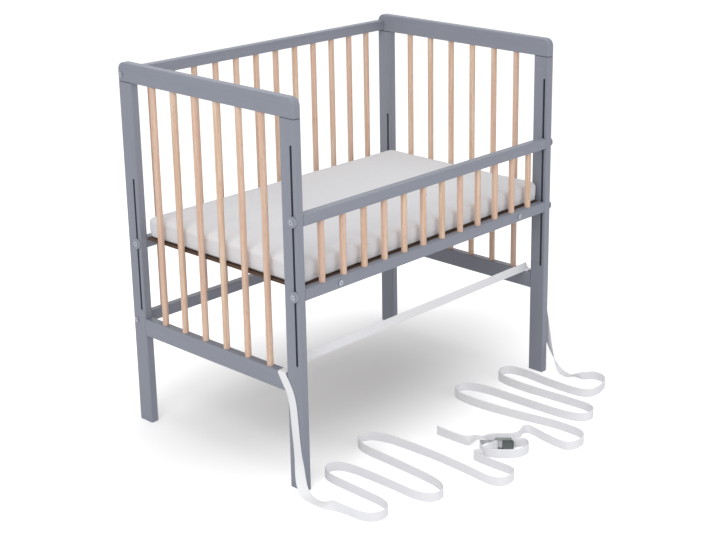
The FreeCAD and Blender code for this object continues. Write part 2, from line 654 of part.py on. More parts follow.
def make_clamp_washers():
    """Makes the round covers under the heads of the clamp bolts, with a rounded rim."""
    washers = []
    for side_name, side in SIDES:
        for name, y, z in CLAMPS:
            start = HEAD_X if side > 0 else f"-{HEAD_X} - washer_thickness"
            disc = rod(f"disc_{side_name}_{name}", "washer_diameter / 2", "washer_thickness",
                       start, y, z, "x")
            hole = rod(f"disc_hole_{side_name}_{name}", "bolt_diameter / 2 + fit",
                       "washer_thickness", start, y, z, "x")
            recess_start = (f"{HEAD_X} + washer_thickness - bolt_head_height / 2" if side > 0
                            else f"-{HEAD_X} - washer_thickness")
            recess = rod(f"disc_recess_{side_name}_{name}", "bolt_head_diameter / 2 + fit",
                         "bolt_head_height / 2", recess_start, y, z, "x")
            doc.recompute()
            rim = doc.addObject("Part::Fillet", f"disc_round_{side_name}_{name}")
            rim.Base = disc
            outer = [index for index, edge in enumerate(disc.Shape.Edges, 1)
                     if edge.Curve.TypeId == "Part::GeomCircle"
                     and abs(edge.CenterOfMass.x * side - D["crib_length"] / 2 - D["run"]
                             - D["washer_thickness"]) < 0.01]
            rim.Edges = [(index, D["washer_round"], D["washer_round"]) for index in outer]
            bores = doc.addObject("Part::Fuse", f"disc_bores_{side_name}_{name}")
            bores.Base = hole
            bores.Tool = recess
            washer = doc.addObject("Part::Cut", f"washer_{side_name}_{name}")
            washer.Base = rim
            washer.Tool = bores
            washers.append(washer)
    return group("clamp_washers", washers)


def make_clamp_bolts():
    """Makes the bolts that clamp the deck's rails through the slots of the posts."""
    seat = f"({HEAD_X} + washer_thickness - bolt_head_height / 2)"
    bolts = []
    for side_name, side in SIDES:
        for name, y, z in CLAMPS:
            bolts.append(make_bolt(f"clamp_bolt_{side_name}_{name}", "x", side,
                                   f"({side} * {seat})", y, z, "bolt_length"))
    return group("clamp_bolts", bolts)


def make_back_panel_bolts():
    """Makes the bolts that hold the back panel between the end frames."""
    bolts = []
    for side_name, side in SIDES:
        for name, y, z in PANEL_BOLTS:
            bolts.append(make_bolt(f"panel_bolt_{side_name}_{name}", "x", side,
                                   f"({side} * crib_length / 2)", y, z, "bolt_length"))
    return group("back_panel_bolts", bolts)


def make_rail_nuts(label, seats):
    """Makes barrel nuts in the ends of rails, bored through for their bolts."""
    nuts = []
    for side_name, side in SIDES:
        for name, y, z in seats:
            x = f"({side} * ({POST_INNER_X} - nut_setback))"
            start = f"({y} + panel_rail_depth / 2 - nut_length)"
            barrel = rod(f"{label}_{side_name}_{name}_barrel", "nut_diameter / 2", "nut_length",
                         x, start, z, "y")
            bore = rod(f"{label}_{side_name}_{name}_bore", "bolt_diameter / 2 + fit",
                       "2 * nut_diameter", f"{x} - nut_diameter", y, z, "x")
            nut = doc.addObject("Part::Cut", f"{label}_{side_name}_{name}")
            nut.Base = barrel
            nut.Tool = bore
            nuts.append(nut)
    return group(label, nuts)


def make_cross_rail_bolts():
    """Makes the bolts through the front and rear rails into the cross rails."""
    bolts = []
    for name, side in SIDES:
        x = f"({side} * cross_rail_x)"
        bolts.append(make_bolt(f"cross_bolt_front_{name}", "y", -1,
                               f"({DECK_FRONT_Y} - panel_rail_depth)", x, CROSS_RAIL_Z,
                               "bolt_length"))
        bolts.append(make_bolt(f"cross_bolt_rear_{name}", "y", 1,
                               f"({DECK_REAR_Y} + panel_rail_depth)", x, CROSS_RAIL_Z,
                               "bolt_length"))
    return group("cross_rail_bolts", bolts)


def make_cross_rail_nuts():
    """Makes the upright barrel nuts in the ends of the cross rails."""
    nuts = []
    for name, side in SIDES:
        for end in (-1, 1):
            y = f"({CROSS_MID_Y} + {end} * ({CROSS_LENGTH} / 2 - nut_setback))"
            barrel = rod(f"cross_nut_{name}_{end + 1}_barrel", "nut_diameter / 2", "nut_length",
                         f"{side} * cross_rail_x", y,
                         f"{CROSS_RAIL_Z} - cross_rail_height / 2")
            bore = rod(f"cross_nut_{name}_{end + 1}_bore", "bolt_diameter / 2 + fit",
                       "2 * nut_diameter", f"{side} * cross_rail_x", f"{y} - nut_diameter",
                       CROSS_RAIL_Z, "y")
            nut = doc.addObject("Part::Cut", f"cross_nut_{name}_{end + 1}")
            nut.Base = barrel
            nut.Tool = bore
            nuts.append(nut)
    return group("cross_rail_nuts", nuts)


# --------------------------------------------------------------------------- strap

# The webbing is one strap. Its stretches stand on edge on the floor, apart from short twists
# where it lies flat: at the foot of each hanging end and where it crosses the loop.
TAUT_Y = -247.0
TAUT_HALF = 425.0
TAUT_FOOT = D["end_rail_bottom"] + D["end_rail_height"] + D["run"]
FLOOR_GAP = 0.05
EDGE_Z = D["strap_width"] / 2 + FLOOR_GAP
FLAT_Z = D["strap_thickness"] / 2 + FLOOR_GAP

# Route on the floor, seen from above. The points are the corners that its arcs round off.
LEFT_FLOOR = [(-492, -440), (-486, -541), (-410, -543), (-407, -415), (-404, -285), (-337, -283),
              (-330, -430), (-336, -580), (-256, -582), (-243, -410), (-240, -232), (-160, -230),
              (-149, -400), (-154, -540), (-167, -655), (-87, -657), (-90, -580), (-89, -505),
              (-70, -508.8)]
RIGHT_FLOOR = [(490, -434), (518, -455), (506, -502), (448, -522), (391, -516), (387, -400),
               (404, -240), (330, -238), (316, -330), (326, -470), (333, -597), (254, -599),
               (244, -440), (240, -222), (160, -218), (152, -330), (172, -470), (191, -560),
               (189, -668), (103, -672), (106, -600), (128, -507), (84, -523)]

# The loop and the buckle, in their own frame: along the buckle, then away from the front.
LOOP_CENTRE = Vector(1, -538, 0)
LOOP_TURN = -50.56
BUCKLE_MIDDLE = (-2.4, 9.7)
LOOP = [(41, 66), (24, 45), (-36, 47), (-62, 22), (-61, -22), (-31, -45), (32, -46), (62, -18),
        (61, 13), (46, 23), (31, 13.65), (-25, 13.65)]
TAIL = [(-98, 31), (-134, 56), (-172, 90)]
# Where the sewn end turns over: along, away from the front, foot and degrees from flat.
SEWN_TWIST = [(-62.5, -32.4, 0.05, 48), (-58.4, -29.1, 0.05, 12), (-55.6, -26.8, 0.05, 0),
              (-50.6, -22.4, 0.05, 0), (-45.6, -18.2, 0.3, 16), (-40.0, -13.4, 1.2, 52)]
SEAM = 11.0
EYE_TURN = math.radians(47)


def loop_point(along, away, height=0.0):
    """Returns a point of the loop's own frame in the frame of the crib."""
    turn = math.radians(LOOP_TURN)
    return LOOP_CENTRE + Vector(along * math.cos(turn) - away * math.sin(turn),
                                along * math.sin(turn) + away * math.cos(turn), height)


def corner_arc(before, corner, after, share=0.45):
    """Returns the tangent points, centre, radius and turn of the arc that rounds a corner."""
    back = before - corner
    ahead = after - corner
    reach = share * min(back.Length, ahead.Length)
    back.normalize()
    ahead.normalize()
    turn = math.pi - back.getAngle(ahead)
    radius = reach / math.tan(turn / 2)
    middle = back + ahead
    middle.normalize()
    centre = corner + middle * math.hypot(radius, reach)
    return corner + back * reach, corner + ahead * reach, centre, radius, turn


def side_edges(points, offset):
    """Returns the edges of one side of the route, and the length of its middle line."""
    edges = []
    length = 0.0
    start = points[0]
    for before, corner, after in zip(points, points[1:], points[2:]):
        first, last, centre, radius, turn = corner_arc(before, corner, after)
        run = (first - start).normalize()
        left = Vector(-run.y, run.x, 0)
        edges.append(Part.LineSegment(start + left * offset, first + left * offset).toShape())
        inner = radius - offset if (centre - first).dot(left) > 0 else radius + offset
        middle = (corner - centre).normalize()
        ends = ((first - centre).normalize(), (last - centre).normalize())
        edges.append(Part.Arc(centre + ends[0] * inner, centre + middle * inner,
                              centre + ends[1] * inner).toShape())
        length += (first - start).Length + radius * turn
        start = last
    run = (points[-1] - start).normalize()
    left = Vector(-run.y, run.x, 0)
    edges.append(Part.LineSegment(start + left * offset, points[-1] + left * offset).toShape())
    return edges, length + (points[-1] - start).Length


def one_solid(label, pieces):
    """Joins pieces that meet face to face and checks that one solid comes of them."""
    shape = pieces[0].fuse(pieces[1:])
    total = sum(piece.Volume for piece in pieces)
    if len(shape.Solids) != 1 or abs(shape.Volume - total) > 0.01 * total:
        raise ValueError(f"{label}: {len(shape.Solids)} solids, {shape.Volume} of {total}")
    return shape.Solids[0]


def edge_ribbon(label, points, foot):
    """Makes a stretch of webbing that stands on edge and follows a route on the floor."""
    points = [Vector(point[0], point[1], foot) for point in points]
    half = D["strap_thickness"] / 2
    left, length = side_edges(points, half)
    right, length = side_edges(points, -half)
    caps = []
    for number in (0, -1):
        ends = [side[number].Vertexes[number].Point for side in (left, right)]
        caps.append(Part.LineSegment(*ends).toShape())
    outline = Part.Wire(Part.__sortEdges__(left + right + caps))
    shape = Part.Face(outline).extrude(Vector(0, 0, D["strap_width"]))
    radii = [corner_arc(*three)[3] for three in zip(points, points[1:], points[2:])]
    section = D["strap_width"] * D["strap_thickness"]
    print(label, "length", round(length), "least radius", round(min(radii), 1),
          "volume over section by length", round(shape.Volume / (section * length), 4))
    return shape


def halved(stations):
    """Returns the stations with one more between each two, on a curve through the points."""
    points = [Vector(*point) for point, face in stations]
    faces = [Vector(*face).normalize() for point, face in stations]
    finer = []
    for number, (near, far) in enumerate(zip(points, points[1:])):
        before = points[number - 1] if number > 0 else near * 2 - far
        after = points[number + 2] if number + 2 < len(points) else far * 2 - near
        middle = (near + far) * 0.5625 - (before + after) * 0.0625
        finer += [(near, faces[number]), (middle, faces[number] + faces[number + 1])]
    return finer + [(points[-1], faces[-1])]


def twisted_ribbon(label, stations, first_run=None, last_run=None):
    """Makes a stretch of webbing that turns over on its way.

    stations are (point, direction of the face) pairs. first_run and last_run set the
    direction of the strap at its ends, where it meets the next stretch face to face. Each
    step between two stations is halved on a smooth curve through them.
    """
    stations = halved(stations)
    points = [Vector(*point) for point, face in stations]
    vertices = []
    for number, (point, face) in enumerate(stations):
        before = points[max(number - 1, 0)]
        after = points[min(number + 1, len(points) - 1)]
        run = after - before
        if number == 0 and first_run is not None:
            run = first_run
        if number == len(points) - 1 and last_run is not None:
            run = last_run
        across = run.cross(Vector(*face)).normalize()
        out = across.cross(run).normalize()
        wide = across * (D["strap_width"] / 2)
        thick = out * (D["strap_thickness"] / 2)
        middle = points[number]
        corners = [middle + wide + thick, middle - wide + thick, middle - wide - thick,
                   middle + wide - thick]
        lift = Vector(0, 0, max(0.0, FLOOR_GAP - min(corner.z for corner in corners)))
        corners = [corner + lift for corner in corners]
        vertices += corners
    # Four corners for each section; two triangles for each side of each step, and the caps.
    last = len(vertices) - 4
    facets = [(0, 1, 2), (0, 2, 3), (last, last + 2, last + 1), (last, last + 3, last + 2)]
    for base in range(0, last, 4):
        for corner in range(4):
            following = (corner + 1) % 4
            near = (base + corner, base + following)
            far = (base + 4 + corner, base + 4 + following)
            if corner < 2:
                facets += [(near[0], far[0], far[1]), (near[0], far[1], near[1])]
            else:
                facets += [(near[0], far[0], near[1]), (near[1], far[0], far[1])]
    shell = Part.Shape()
    shell.makeShapeFromMesh((vertices, facets), 0.001)
    shape = Part.makeSolid(shell)
    length = sum((second - first).Length for first, second in zip(points, points[1:]))
    section = D["strap_width"] * D["strap_thickness"]
    print(label, "length", round(length), "volume over section by length",
          round(shape.Volume / (section * length), 3))
    return shape


def run_between(first, second):
    """Returns the level direction from one route point to the next."""
    return Vector(second[0] - first[0], second[1] - first[1], 0).normalize()


def make_taut_stretch():
    """Makes the stretch that is pulled tight across the crib, on edge over the low rails."""
    box = Part.makeBox(2 * TAUT_HALF, D["strap_thickness"], D["strap_width"],
                       Vector(-TAUT_HALF, TAUT_Y - D["strap_thickness"] / 2, TAUT_FOOT))
    return solid("strap_cross", box)


def leaning(x, y, foot, degrees, aside):
    """Returns a station of webbing that leans over its lower edge, 90 degrees being upright.

    aside is the level direction that the upper face turns to.
    """
    tilt = math.radians(degrees)
    height = foot + D["strap_width"] / 2 * math.sin(tilt)
    height += D["strap_thickness"] / 2 * math.cos(tilt)
    return (x, y, height), Vector(0, 0, 1) * math.cos(tilt) + Vector(*aside) * math.sin(tilt)


def over_the_rail(side):
    """Returns the stations from the taut stretch over an end's low rail to its outer face."""
    rest = TAUT_FOOT + D["strap_thickness"] / 2
    inner = D["crib_length"] / 2 - D["post_width"]
    outer = D["crib_length"] / 2
    out = outer + D["run"] + D["strap_thickness"] / 2
    turning = [leaning(side * (TAUT_HALF + step), TAUT_Y, TAUT_FOOT, tilt, (0, -1, 0))
               for step, tilt in ((0, 90), (8, 62), (16, 36), (24, 12))]
    return turning + [
        ((side * inner, TAUT_Y, rest), (0, 0, 1)),
        ((side * (outer - 2.6), TAUT_Y, rest), (0, 0, 1)),
        ((side * (outer + 0.1), TAUT_Y, rest - 0.45), (side * 0.5, 0, 0.87)),
        ((side * (out + 0.2), TAUT_Y, rest - 2.9), (side * 0.95, 0, 0.31))], out


def make_left_hang():
    """Makes the left hanging end, which leans forward and lies down at the post's foot."""
    stations, out = over_the_rail(-1)
    down = [(-247.5, 283, 0), (-252, 267, 0), (-263, 247, 0), (-279, 222, 0), (-288, 192, 0),
            (-292, 155, 0), (-298, 91, 0.3)]
    for y, z, away in down:
        stations.append(((-out - away, y, z), (-1, 0, 0)))
    stations += [((-483, -303, 62), (-0.93, -0.37, 0)), ((-487.5, -310, 38), (-0.75, -0.66, 0)),
                 ((-491, -320, 17), (-0.42, -0.85, 0.32)),
                 ((-493.5, -334, 5.5), (-0.15, -0.5, 0.85)),
                 leaning(-495, -352, FLOOR_GAP, 0, (0, 0, 0)),
                 leaning(-496, -382, FLOOR_GAP, 0, (0, 0, 0)),
                 leaning(-495.5, -402, FLOOR_GAP, 25, (-1, 0, 0)),
                 leaning(-494, -421, FLOOR_GAP, 58, (-1, 0, 0)),
                 leaning(*LEFT_FLOOR[0], FLOOR_GAP, 90, (-1, 0, 0))]
    shape = twisted_ribbon("strap_left_hang", stations, Vector(-1, 0, 0),
                           run_between(*LEFT_FLOOR[:2]))
    return solid("strap_left_hang", shape)


def make_right_hang():
    """Makes the right hanging end, which swings out from the post and lies down beside it."""
    stations, out = over_the_rail(1)
    down = [(-247.5, 283, 0.2), (-253, 267, 1), (-266, 244, 3), (-281, 215, 5.5),
            (-292, 180, 8), (-303, 118, 10)]
    for y, z, away in down:
        stations.append(((out + away, y, z), (1, 0, 0)))
    stations += [((491, -313, 70), (0.93, -0.37, 0)), ((493, -325, 42), (0.75, -0.66, 0)),
                 ((493, -337, 18), (0.42, -0.85, 0.32)), ((491, -352, 5.5), (0.15, -0.5, 0.85)),
                 leaning(488, -369, FLOOR_GAP, 0, (0, 0, 0)),
                 leaning(484, -390, FLOOR_GAP, 0, (0, 0, 0)),
                 leaning(482.5, -405, FLOOR_GAP, 28, (1, 0, 0)),
                 leaning(484, -420, FLOOR_GAP, 60, (0.9, 0.43, 0)),
                 leaning(*RIGHT_FLOOR[0], FLOOR_GAP, 90, (0.6, 0.8, 0))]
    shape = twisted_ribbon("strap_right_hang", stations, Vector(1, 0, 0),
                           run_between(*RIGHT_FLOOR[:2]))
    return solid("strap_right_hang", shape)


def buckle_z():
    """Returns the height of the strap's middle line where the buckle holds it."""
    return D["buckle_plate"] + D["buckle_play"] + D["strap_width"] / 2


def make_loop():
    """Makes the loop round the buckle: the rise from the floor and the turns on edge."""
    points = [loop_point(*point) for point in LOOP]
    ramp = twisted_ribbon("strap_rise", [
        ((*RIGHT_FLOOR[-1], EDGE_Z), (0.4, -0.9, 0)),
        ((points[0].x, points[0].y, buckle_z()), (0.4, -0.9, 0))],
        run_between(*RIGHT_FLOOR[-2:]), run_between(points[0], points[1]))
    turns = edge_ribbon("strap_loop", points, buckle_z() - D["strap_width"] / 2)
    return solid("strap_loop", one_solid("strap_loop", [ramp, turns]))


def make_tail():
    """Makes the free end: flat over the loop's wall, then down on edge."""
    height = buckle_z()
    over = height + D["strap_width"] / 2 + D["run"] + D["strap_thickness"] / 2
    last = loop_point(*LOOP[-1], height)
    away = loop_point(0, 1) - loop_point(0, 0)
    along = loop_point(1, 0) - loop_point(0, 0)
    up = Vector(0, 0, 1)
    stations = [(last, away), (loop_point(-33, 13.8, height + 4.5), away * 0.8 + up * 0.6),
                (loop_point(-43, 14, height + 11), away * 0.4 + up * 0.92),
                (loop_point(-54, 14, over + 0.3), up), (loop_point(-68, 15.5, over + 0.3), up),
                (loop_point(-77, 19, 24), up * 0.92 - away * 0.4),
                (loop_point(-86, 23.5, 17.5), up * 0.6 - away * 0.8),
                (loop_point(*TAIL[0], EDGE_Z), -away)]
    points = [loop_point(*point) for point in TAIL]
    twist = twisted_ribbon("strap_tail_twist", stations, -along, run_between(*points[:2]))
    straight = edge_ribbon("strap_tail", points, FLOOR_GAP)
    return solid("strap_tail", one_solid("strap_tail", [twist, straight]))


def make_sewn_end():
    """Makes the other end: flat under the loop's wall, then sewn round the buckle's bar."""
    height = buckle_z()
    away = loop_point(0, 1) - loop_point(0, 0)
    along = loop_point(1, 0) - loop_point(0, 0)
    up = Vector(0, 0, 1)
    bar = sewn_bar()
    hold = eye_round_bar(bar)
    hold.Placement = buckle_placement().multiply(hold.Placement)
    heading = loop_point(math.cos(EYE_TURN), math.sin(EYE_TURN)) - loop_point(0, 0)
    end = loop_point(BUCKLE_MIDDLE[0] + bar.x, BUCKLE_MIDDLE[1] + bar.y, height)
    stations = [(Vector(*LEFT_FLOOR[-1], EDGE_Z), away)]
    for along_loop, from_front, foot, tilt in SEWN_TWIST:
        point = loop_point(along_loop, from_front)
        aside = away if len(stations) < 3 else -away
        stations.append(leaning(point.x, point.y, foot, tilt, aside))
    stations.append((end - heading * SEAM, along * math.sin(EYE_TURN) - away))
    twist = twisted_ribbon("strap_sewn_twist", stations, run_between(*LEFT_FLOOR[-2:]), heading)
    return solid("strap_sewn_end", one_solid("strap_sewn_end", [twist, hold]))


# --------------------------------------------------------------------------- buckle

def buckle_placement():
    """Returns the place of the buckle's own frame: X along the strap, Z along its pin."""
    base = loop_point(*BUCKLE_MIDDLE)
    return FreeCAD.Placement(base, FreeCAD.Rotation(Vector(0, 0, 1), LOOP_TURN))


def sewn_bar():
    """Returns the axis of the bar that holds the sewn end, in the buckle's frame."""
    return Vector(-D["buckle_length"] / 2 + D["buckle_pin_diameter"], -1.5, 0)


def cam_axis():
    """Returns the axis of the cam's pin, in the buckle's frame."""
    strap_face = (D["buckle_side"] / 2 - D["buckle_plate"] - D["run"] - D["strap_thickness"])
    return Vector(2.0, strap_face - D["run"] - D["cam_radius"], 0)


def eye_round_bar(bar):
    """Makes the doubled end of the strap, closed round the buckle's bar."""
    foot = buckle_z() - D["strap_width"] / 2
    inner = D["buckle_pin_diameter"] / 2 + D["fit"]
    outer = inner + D["strap_thickness"]
    double = D["strap_thickness"]
    base = bar + Vector(0, 0, foot)
    ring = Part.makeCylinder(outer, D["strap_width"], base)
    corners = [Vector(0, -outer, 0), Vector(0, outer, 0), Vector(-SEAM, double, 0),
               Vector(-SEAM, -double, 0)]
    corners = [base + corner for corner in corners]
    plies = Part.Face(Part.makePolygon(corners + corners[:1]))
    plies = plies.extrude(Vector(0, 0, D["strap_width"]))
    eye = ring.fuse(plies).cut(Part.makeCylinder(inner, D["strap_width"], base))
    eye.rotate(bar, Vector(0, 0, 1), math.degrees(EYE_TURN))
    return eye


def make_buckle_frame():
    """Makes the bent frame: a floor plate, two cheeks and the bar of the sewn end."""
    length, side, plate = D["buckle_length"], D["buckle_side"], D["buckle_plate"]
    height = D["strap_width"] + 2 * D["buckle_play"] + 2 * plate
    blank = Part.makeBox(length, side, height, Vector(-length / 2, -side / 2, 0))
    corners = [edge for edge in blank.Edges if edge.BoundBox.ZLength > height / 2
               and edge.CenterOfMass.y < 0]
    blank = blank.makeFillet(side * 0.4, corners)
    bends = [edge for edge in blank.Edges if edge.BoundBox.XLength > length / 2
             and edge.CenterOfMass.y > side / 2 - 0.01]
    blank = blank.makeFillet(plate * 0.9, bends)
    hollow = Part.makeBox(length + 2, side, height - 2 * plate,
                          Vector(-length / 2 - 1, -side / 2 - plate, plate))
    frame = blank.cut(hollow)
    bar = sewn_bar()
    frame = frame.fuse(Part.makeCylinder(D["buckle_pin_diameter"] / 2, height, bar))
    pin_bore = Part.makeCylinder(D["buckle_pin_diameter"] / 2 + D["fit"], height, cam_axis())
    feature = solid("buckle_frame", frame.cut(pin_bore))
    feature.Placement = buckle_placement()
    return feature


def make_buckle_pin():
    """Makes the pin of the cam, flush with both cheeks."""
    height = D["strap_width"] + 2 * D["buckle_play"] + 2 * D["buckle_plate"]
    pin = Part.makeCylinder(D["buckle_pin_diameter"] / 2, height, cam_axis())
    feature = solid("buckle_pin", pin)
    feature.Placement = buckle_placement()
    return feature


def make_buckle_lever():
    """Makes the cam lever: a hub with a toothed nose on the strap and a thumb plate."""
    axis = cam_axis()
    foot = D["buckle_plate"] + D["run"]
    height = D["strap_width"] + 2 * D["buckle_play"] - 2 * D["run"]
    hub_radius = D["cam_radius"] - 1.0
    hub = Part.makeCylinder(hub_radius, height, axis + Vector(0, 0, foot))
    nose = Part.makeCylinder(1.6, height, axis + Vector(0, D["cam_radius"] - 1.6, foot))
    lever = hub.fuse(nose)
    for number in range(3):
        spread = math.radians(-24 + 24 * number)
        groove = axis + Vector(math.sin(spread), math.cos(spread), 0) * (D["cam_radius"] + 0.1)
        lever = lever.cut(Part.makeCylinder(0.45, height, groove + Vector(0, 0, foot)))
    thick = D["lever_thickness"]
    outer_y = axis.y - hub_radius
    plate = Part.makeBox(D["lever_length"], thick, height, Vector(axis.x, outer_y, foot))
    tip = [edge for edge in plate.Edges if edge.BoundBox.YLength > thick / 2
           and edge.CenterOfMass.x > axis.x + 1]
    plate = plate.makeFillet(height * 0.2, tip)
    lever = lever.fuse(plate)
    bore = Part.makeCylinder(D["buckle_pin_diameter"] / 2 + D["fit"], height,
                             axis + Vector(0, 0, foot))
    feature = solid("buckle_lever", lever.cut(bore))
    feature.Placement = buckle_placement()
    return feature


# --------------------------------------------------------------------------- assembly

for side_name, side in SIDES:
    for row in ("front", "back"):
        make_post(f"{side_name}_{row}_post", side, row)
    make_top_rail(f"{side_name}_top_rail", side)
    make_end_bottom_rail(f"{side_name}_bottom_rail", side)
    make_end_bars(f"{side_name}_end_bars", side)
make_dowels()

make_panel_rail("back_top_rail", BACK_PANEL_Y, BACK_TOP_Z, -1)
make_panel_rail("back_bottom_rail", BACK_PANEL_Y, "back_bottom_rail_z", 1)
make_panel_bars("back_bars", BACK_PANEL_Y, "back_bottom_rail_z", BACK_TOP_Z)
make_back_panel_bolts()
make_rail_nuts("back_panel_nuts", PANEL_BOLTS)

make_panel_rail("front_top_rail", FRONT_SLOT_Y, "front_top_rail_z", -1)
bore_for_cross_bolts(make_panel_rail("front_bottom_rail", FRONT_SLOT_Y, "deck_rail_z", 1),
                     "deck_rail_z")
make_panel_bars("front_bars", FRONT_SLOT_Y, "deck_rail_z", "front_top_rail_z")
bore_for_cross_bolts(make_panel_rail("deck_rear_rail", BACK_SLOT_Y, REAR_RAIL_Z, 0),
                     REAR_RAIL_Z)
make_cross_rails()
make_base_board()
make_board_screws()
make_mattress()
make_clamp_washers()
make_clamp_bolts()
make_rail_nuts("clamp_nuts", CLAMPS)
make_cross_rail_bolts()
make_cross_rail_nuts()

make_taut_stretch()
make_left_hang()
make_right_hang()
solid("strap_left_floor", edge_ribbon("strap_left_floor", LEFT_FLOOR, FLOOR_GAP))
solid("strap_right_floor", edge_ribbon("strap_right_floor", RIGHT_FLOOR, FLOOR_GAP))
make_loop()
make_tail()
make_sewn_end()
make_buckle_frame()
make_buckle_pin()
make_buckle_lever()

doc.recompute()
for item in doc.Objects:
    if "Invalid" in item.State or "Error" in item.State:
        raise ValueError(f"{item.Name} failed: {item.State}")
for part in parts:
    if part.Shape.isNull() or not part.Shape.isValid():
        raise ValueError(f"{part.Label} has no valid shape")

os.makedirs("parts", exist_ok=True)
for part in parts:
    part.Shape.exportStep(os.path.join("parts", f"{part.Label}.step"))
print(len(parts), "sub-parts,", sum(len(part.Shape.Solids) for part in parts), "solids")
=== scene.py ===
"""Dresses a bedside sleeper crib: painted pine, beech bars, a soft mattress and its tie strap."""
import logging
import math
from dataclasses import dataclass, field
from enum import Enum
from typing import Any, Protocol

import bmesh
import bpy
from mathutils import Matrix, Vector, noise


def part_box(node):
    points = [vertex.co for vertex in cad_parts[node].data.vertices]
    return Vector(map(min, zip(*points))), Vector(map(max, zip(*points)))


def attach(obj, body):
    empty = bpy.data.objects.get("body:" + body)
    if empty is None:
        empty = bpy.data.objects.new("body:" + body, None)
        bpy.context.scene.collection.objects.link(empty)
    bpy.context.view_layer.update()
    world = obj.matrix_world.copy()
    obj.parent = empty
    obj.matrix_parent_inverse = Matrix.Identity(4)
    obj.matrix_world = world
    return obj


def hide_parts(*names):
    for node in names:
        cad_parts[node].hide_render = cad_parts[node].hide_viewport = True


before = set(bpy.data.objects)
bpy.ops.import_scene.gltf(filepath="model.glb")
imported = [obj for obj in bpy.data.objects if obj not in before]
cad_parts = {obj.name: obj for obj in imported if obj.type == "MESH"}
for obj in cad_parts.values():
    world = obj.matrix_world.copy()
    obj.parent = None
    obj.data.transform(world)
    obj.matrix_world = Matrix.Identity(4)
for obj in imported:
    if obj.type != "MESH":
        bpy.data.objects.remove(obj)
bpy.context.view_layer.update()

LOG = logging.getLogger("crib")
MM = 0.001
# A Mix node has its sockets once for each type of data. These are the ones for colours.
SHARE, FIRST, SECOND, MIXED = 0, 6, 7, 2
# The wave texture turns by this angle, in radians, over each repeat of its scale.
WAVE_TURN = 20.0

Triple = tuple[float, float, float]
Pair = tuple[float, float]
# A place on the strap where it turns over, and the direction of its width there.
Turn = tuple[Triple, Triple]
Piece = bpy.types.Object
Material = bpy.types.Material
Tree = bpy.types.NodeTree
Node = bpy.types.Node
Socket = bpy.types.NodeSocket
# Where a link comes from. A node stands for its first output.
Source = Node | Socket


# ---- choices

class Grain(Enum):
    """The axis that the grain of a wooden piece runs along."""

    ALONG_X = 0
    ALONG_Y = 1
    ALONG_Z = 2

    def drawn_out(self, share: float) -> list[float]:
        """Gives a pattern's scale on each axis, for one that is drawn out along the grain.

        Args:
            share: The scale along the grain; it is 1 across it.

        Returns:
            The scale along X, Y and Z.
        """
        scale = [1.0, 1.0, 1.0]
        scale[self.value] = share
        return scale


class Coat(Enum):
    """The coats of the steel fittings: what the steel then is, its colour and roughness."""

    ZINC = ("zinc_plated_steel", "#A6A9B1", 0.36)
    NICKEL = ("nickel_plated_steel", "#A9AFAD", 0.28)
    OIL = ("oiled_spring_steel", "#626967", 0.32)


class Lie(Enum):
    """Which edge of the webbing is up where it stands on edge: its width's direction along Z."""

    FIRST_EDGE_UP = 1
    FIRST_EDGE_DOWN = -1


class Side(Enum):
    """An end of the crib, as its direction along X."""

    LEFT = -1
    RIGHT = 1


class FarEnd(Enum):
    """What a stretch of the strap ends in."""

    OBJECT = "object"
    FITTING = "fitting"
    BARE = "bare"


class Lay(Enum):
    """How a stretch of the strap lies."""

    TAUT = "taut"
    LOOSE = "loose"


# ---- shared helpers

def linear(hex_colour: str) -> tuple[float, float, float, float]:
    """Turns an sRGB hex value to a linear colour.

    Args:
        hex_colour: Six hex digits after a hash sign.

    Returns:
        Red, green, blue and an alpha of 1.
    """
    channels = [int(hex_colour[start:start + 2], 16) / 255 for start in (1, 3, 5)]
    red, green, blue = (value / 12.92 if value <= 0.04045 else ((value + 0.055) / 1.055) ** 2.4
                        for value in channels)
    return red, green, blue, 1.0


def per_mm(spacing: float) -> float:
    """Returns the pattern scale, in repeats a metre, for a spacing in millimetres."""
    return 1000.0 / spacing


def add_node(tree: Tree, kind: str, values: dict[Any, Any] | None = None,
             links: dict[Any, Source] | None = None, **settings: Any) -> Node:
    """Adds a shader node with its settings and links.

    Args:
        tree: The node tree that it joins.
        kind: The end of the node's type name.
        values: Values of its input sockets, by name or number.
        links: What its inputs are linked from, by name or number.
        **settings: Properties of the node.

    Returns:
        The new node.
    """
    made = tree.nodes.new("ShaderNode" + kind)
    for name, value in settings.items():
        setattr(made, name, value)
    for name, value in (values or {}).items():
        made.inputs[name].default_value = value
    for name, source in (links or {}).items():
        output = source.outputs[0] if isinstance(source, Node) else source
        tree.links.new(output, made.inputs[name])
    return made


def empty_tree(owner: Material | bpy.types.World) -> Tree:
    """Empties the node tree of a material or a world.

    Args:
        owner: The material or world.

    Returns:
        Its node tree.
    """
    owner.use_nodes = True
    owner.node_tree.nodes.clear()
    return owner.node_tree


def new_material(name: str) -> tuple[Material, Tree]:
    """Makes a material with no nodes yet, and returns it with its node tree."""
    made = bpy.data.materials.new(name)
    return made, empty_tree(made)


def shaded(made: Material, values: dict[str, Any], links: dict[str, Source]) -> Material:
    """Ends a material with its principled shader.

    Args:
        made: The material, with the nodes of its patterns.
        values: Values of the shader's own sockets.
        links: What its other sockets are linked from.

    Returns:
        The finished material.
    """
    shader = add_node(made.node_tree, "BsdfPrincipled", values, links)
    add_node(made.node_tree, "OutputMaterial", links={"Surface": shader})
    return made


def clear_selection() -> None:
    """Leaves every object deselected and object mode on."""
    if bpy.context.mode != "OBJECT":
        bpy.ops.object.mode_set(mode="OBJECT")
    bpy.ops.object.select_all(action="DESELECT")


def select_only(piece: Piece) -> None:
    """Makes a piece the active one and the only selected one.

    Args:
        piece: The piece to select.
    """
    clear_selection()
    piece.select_set(True)
    bpy.context.view_layer.objects.active = piece


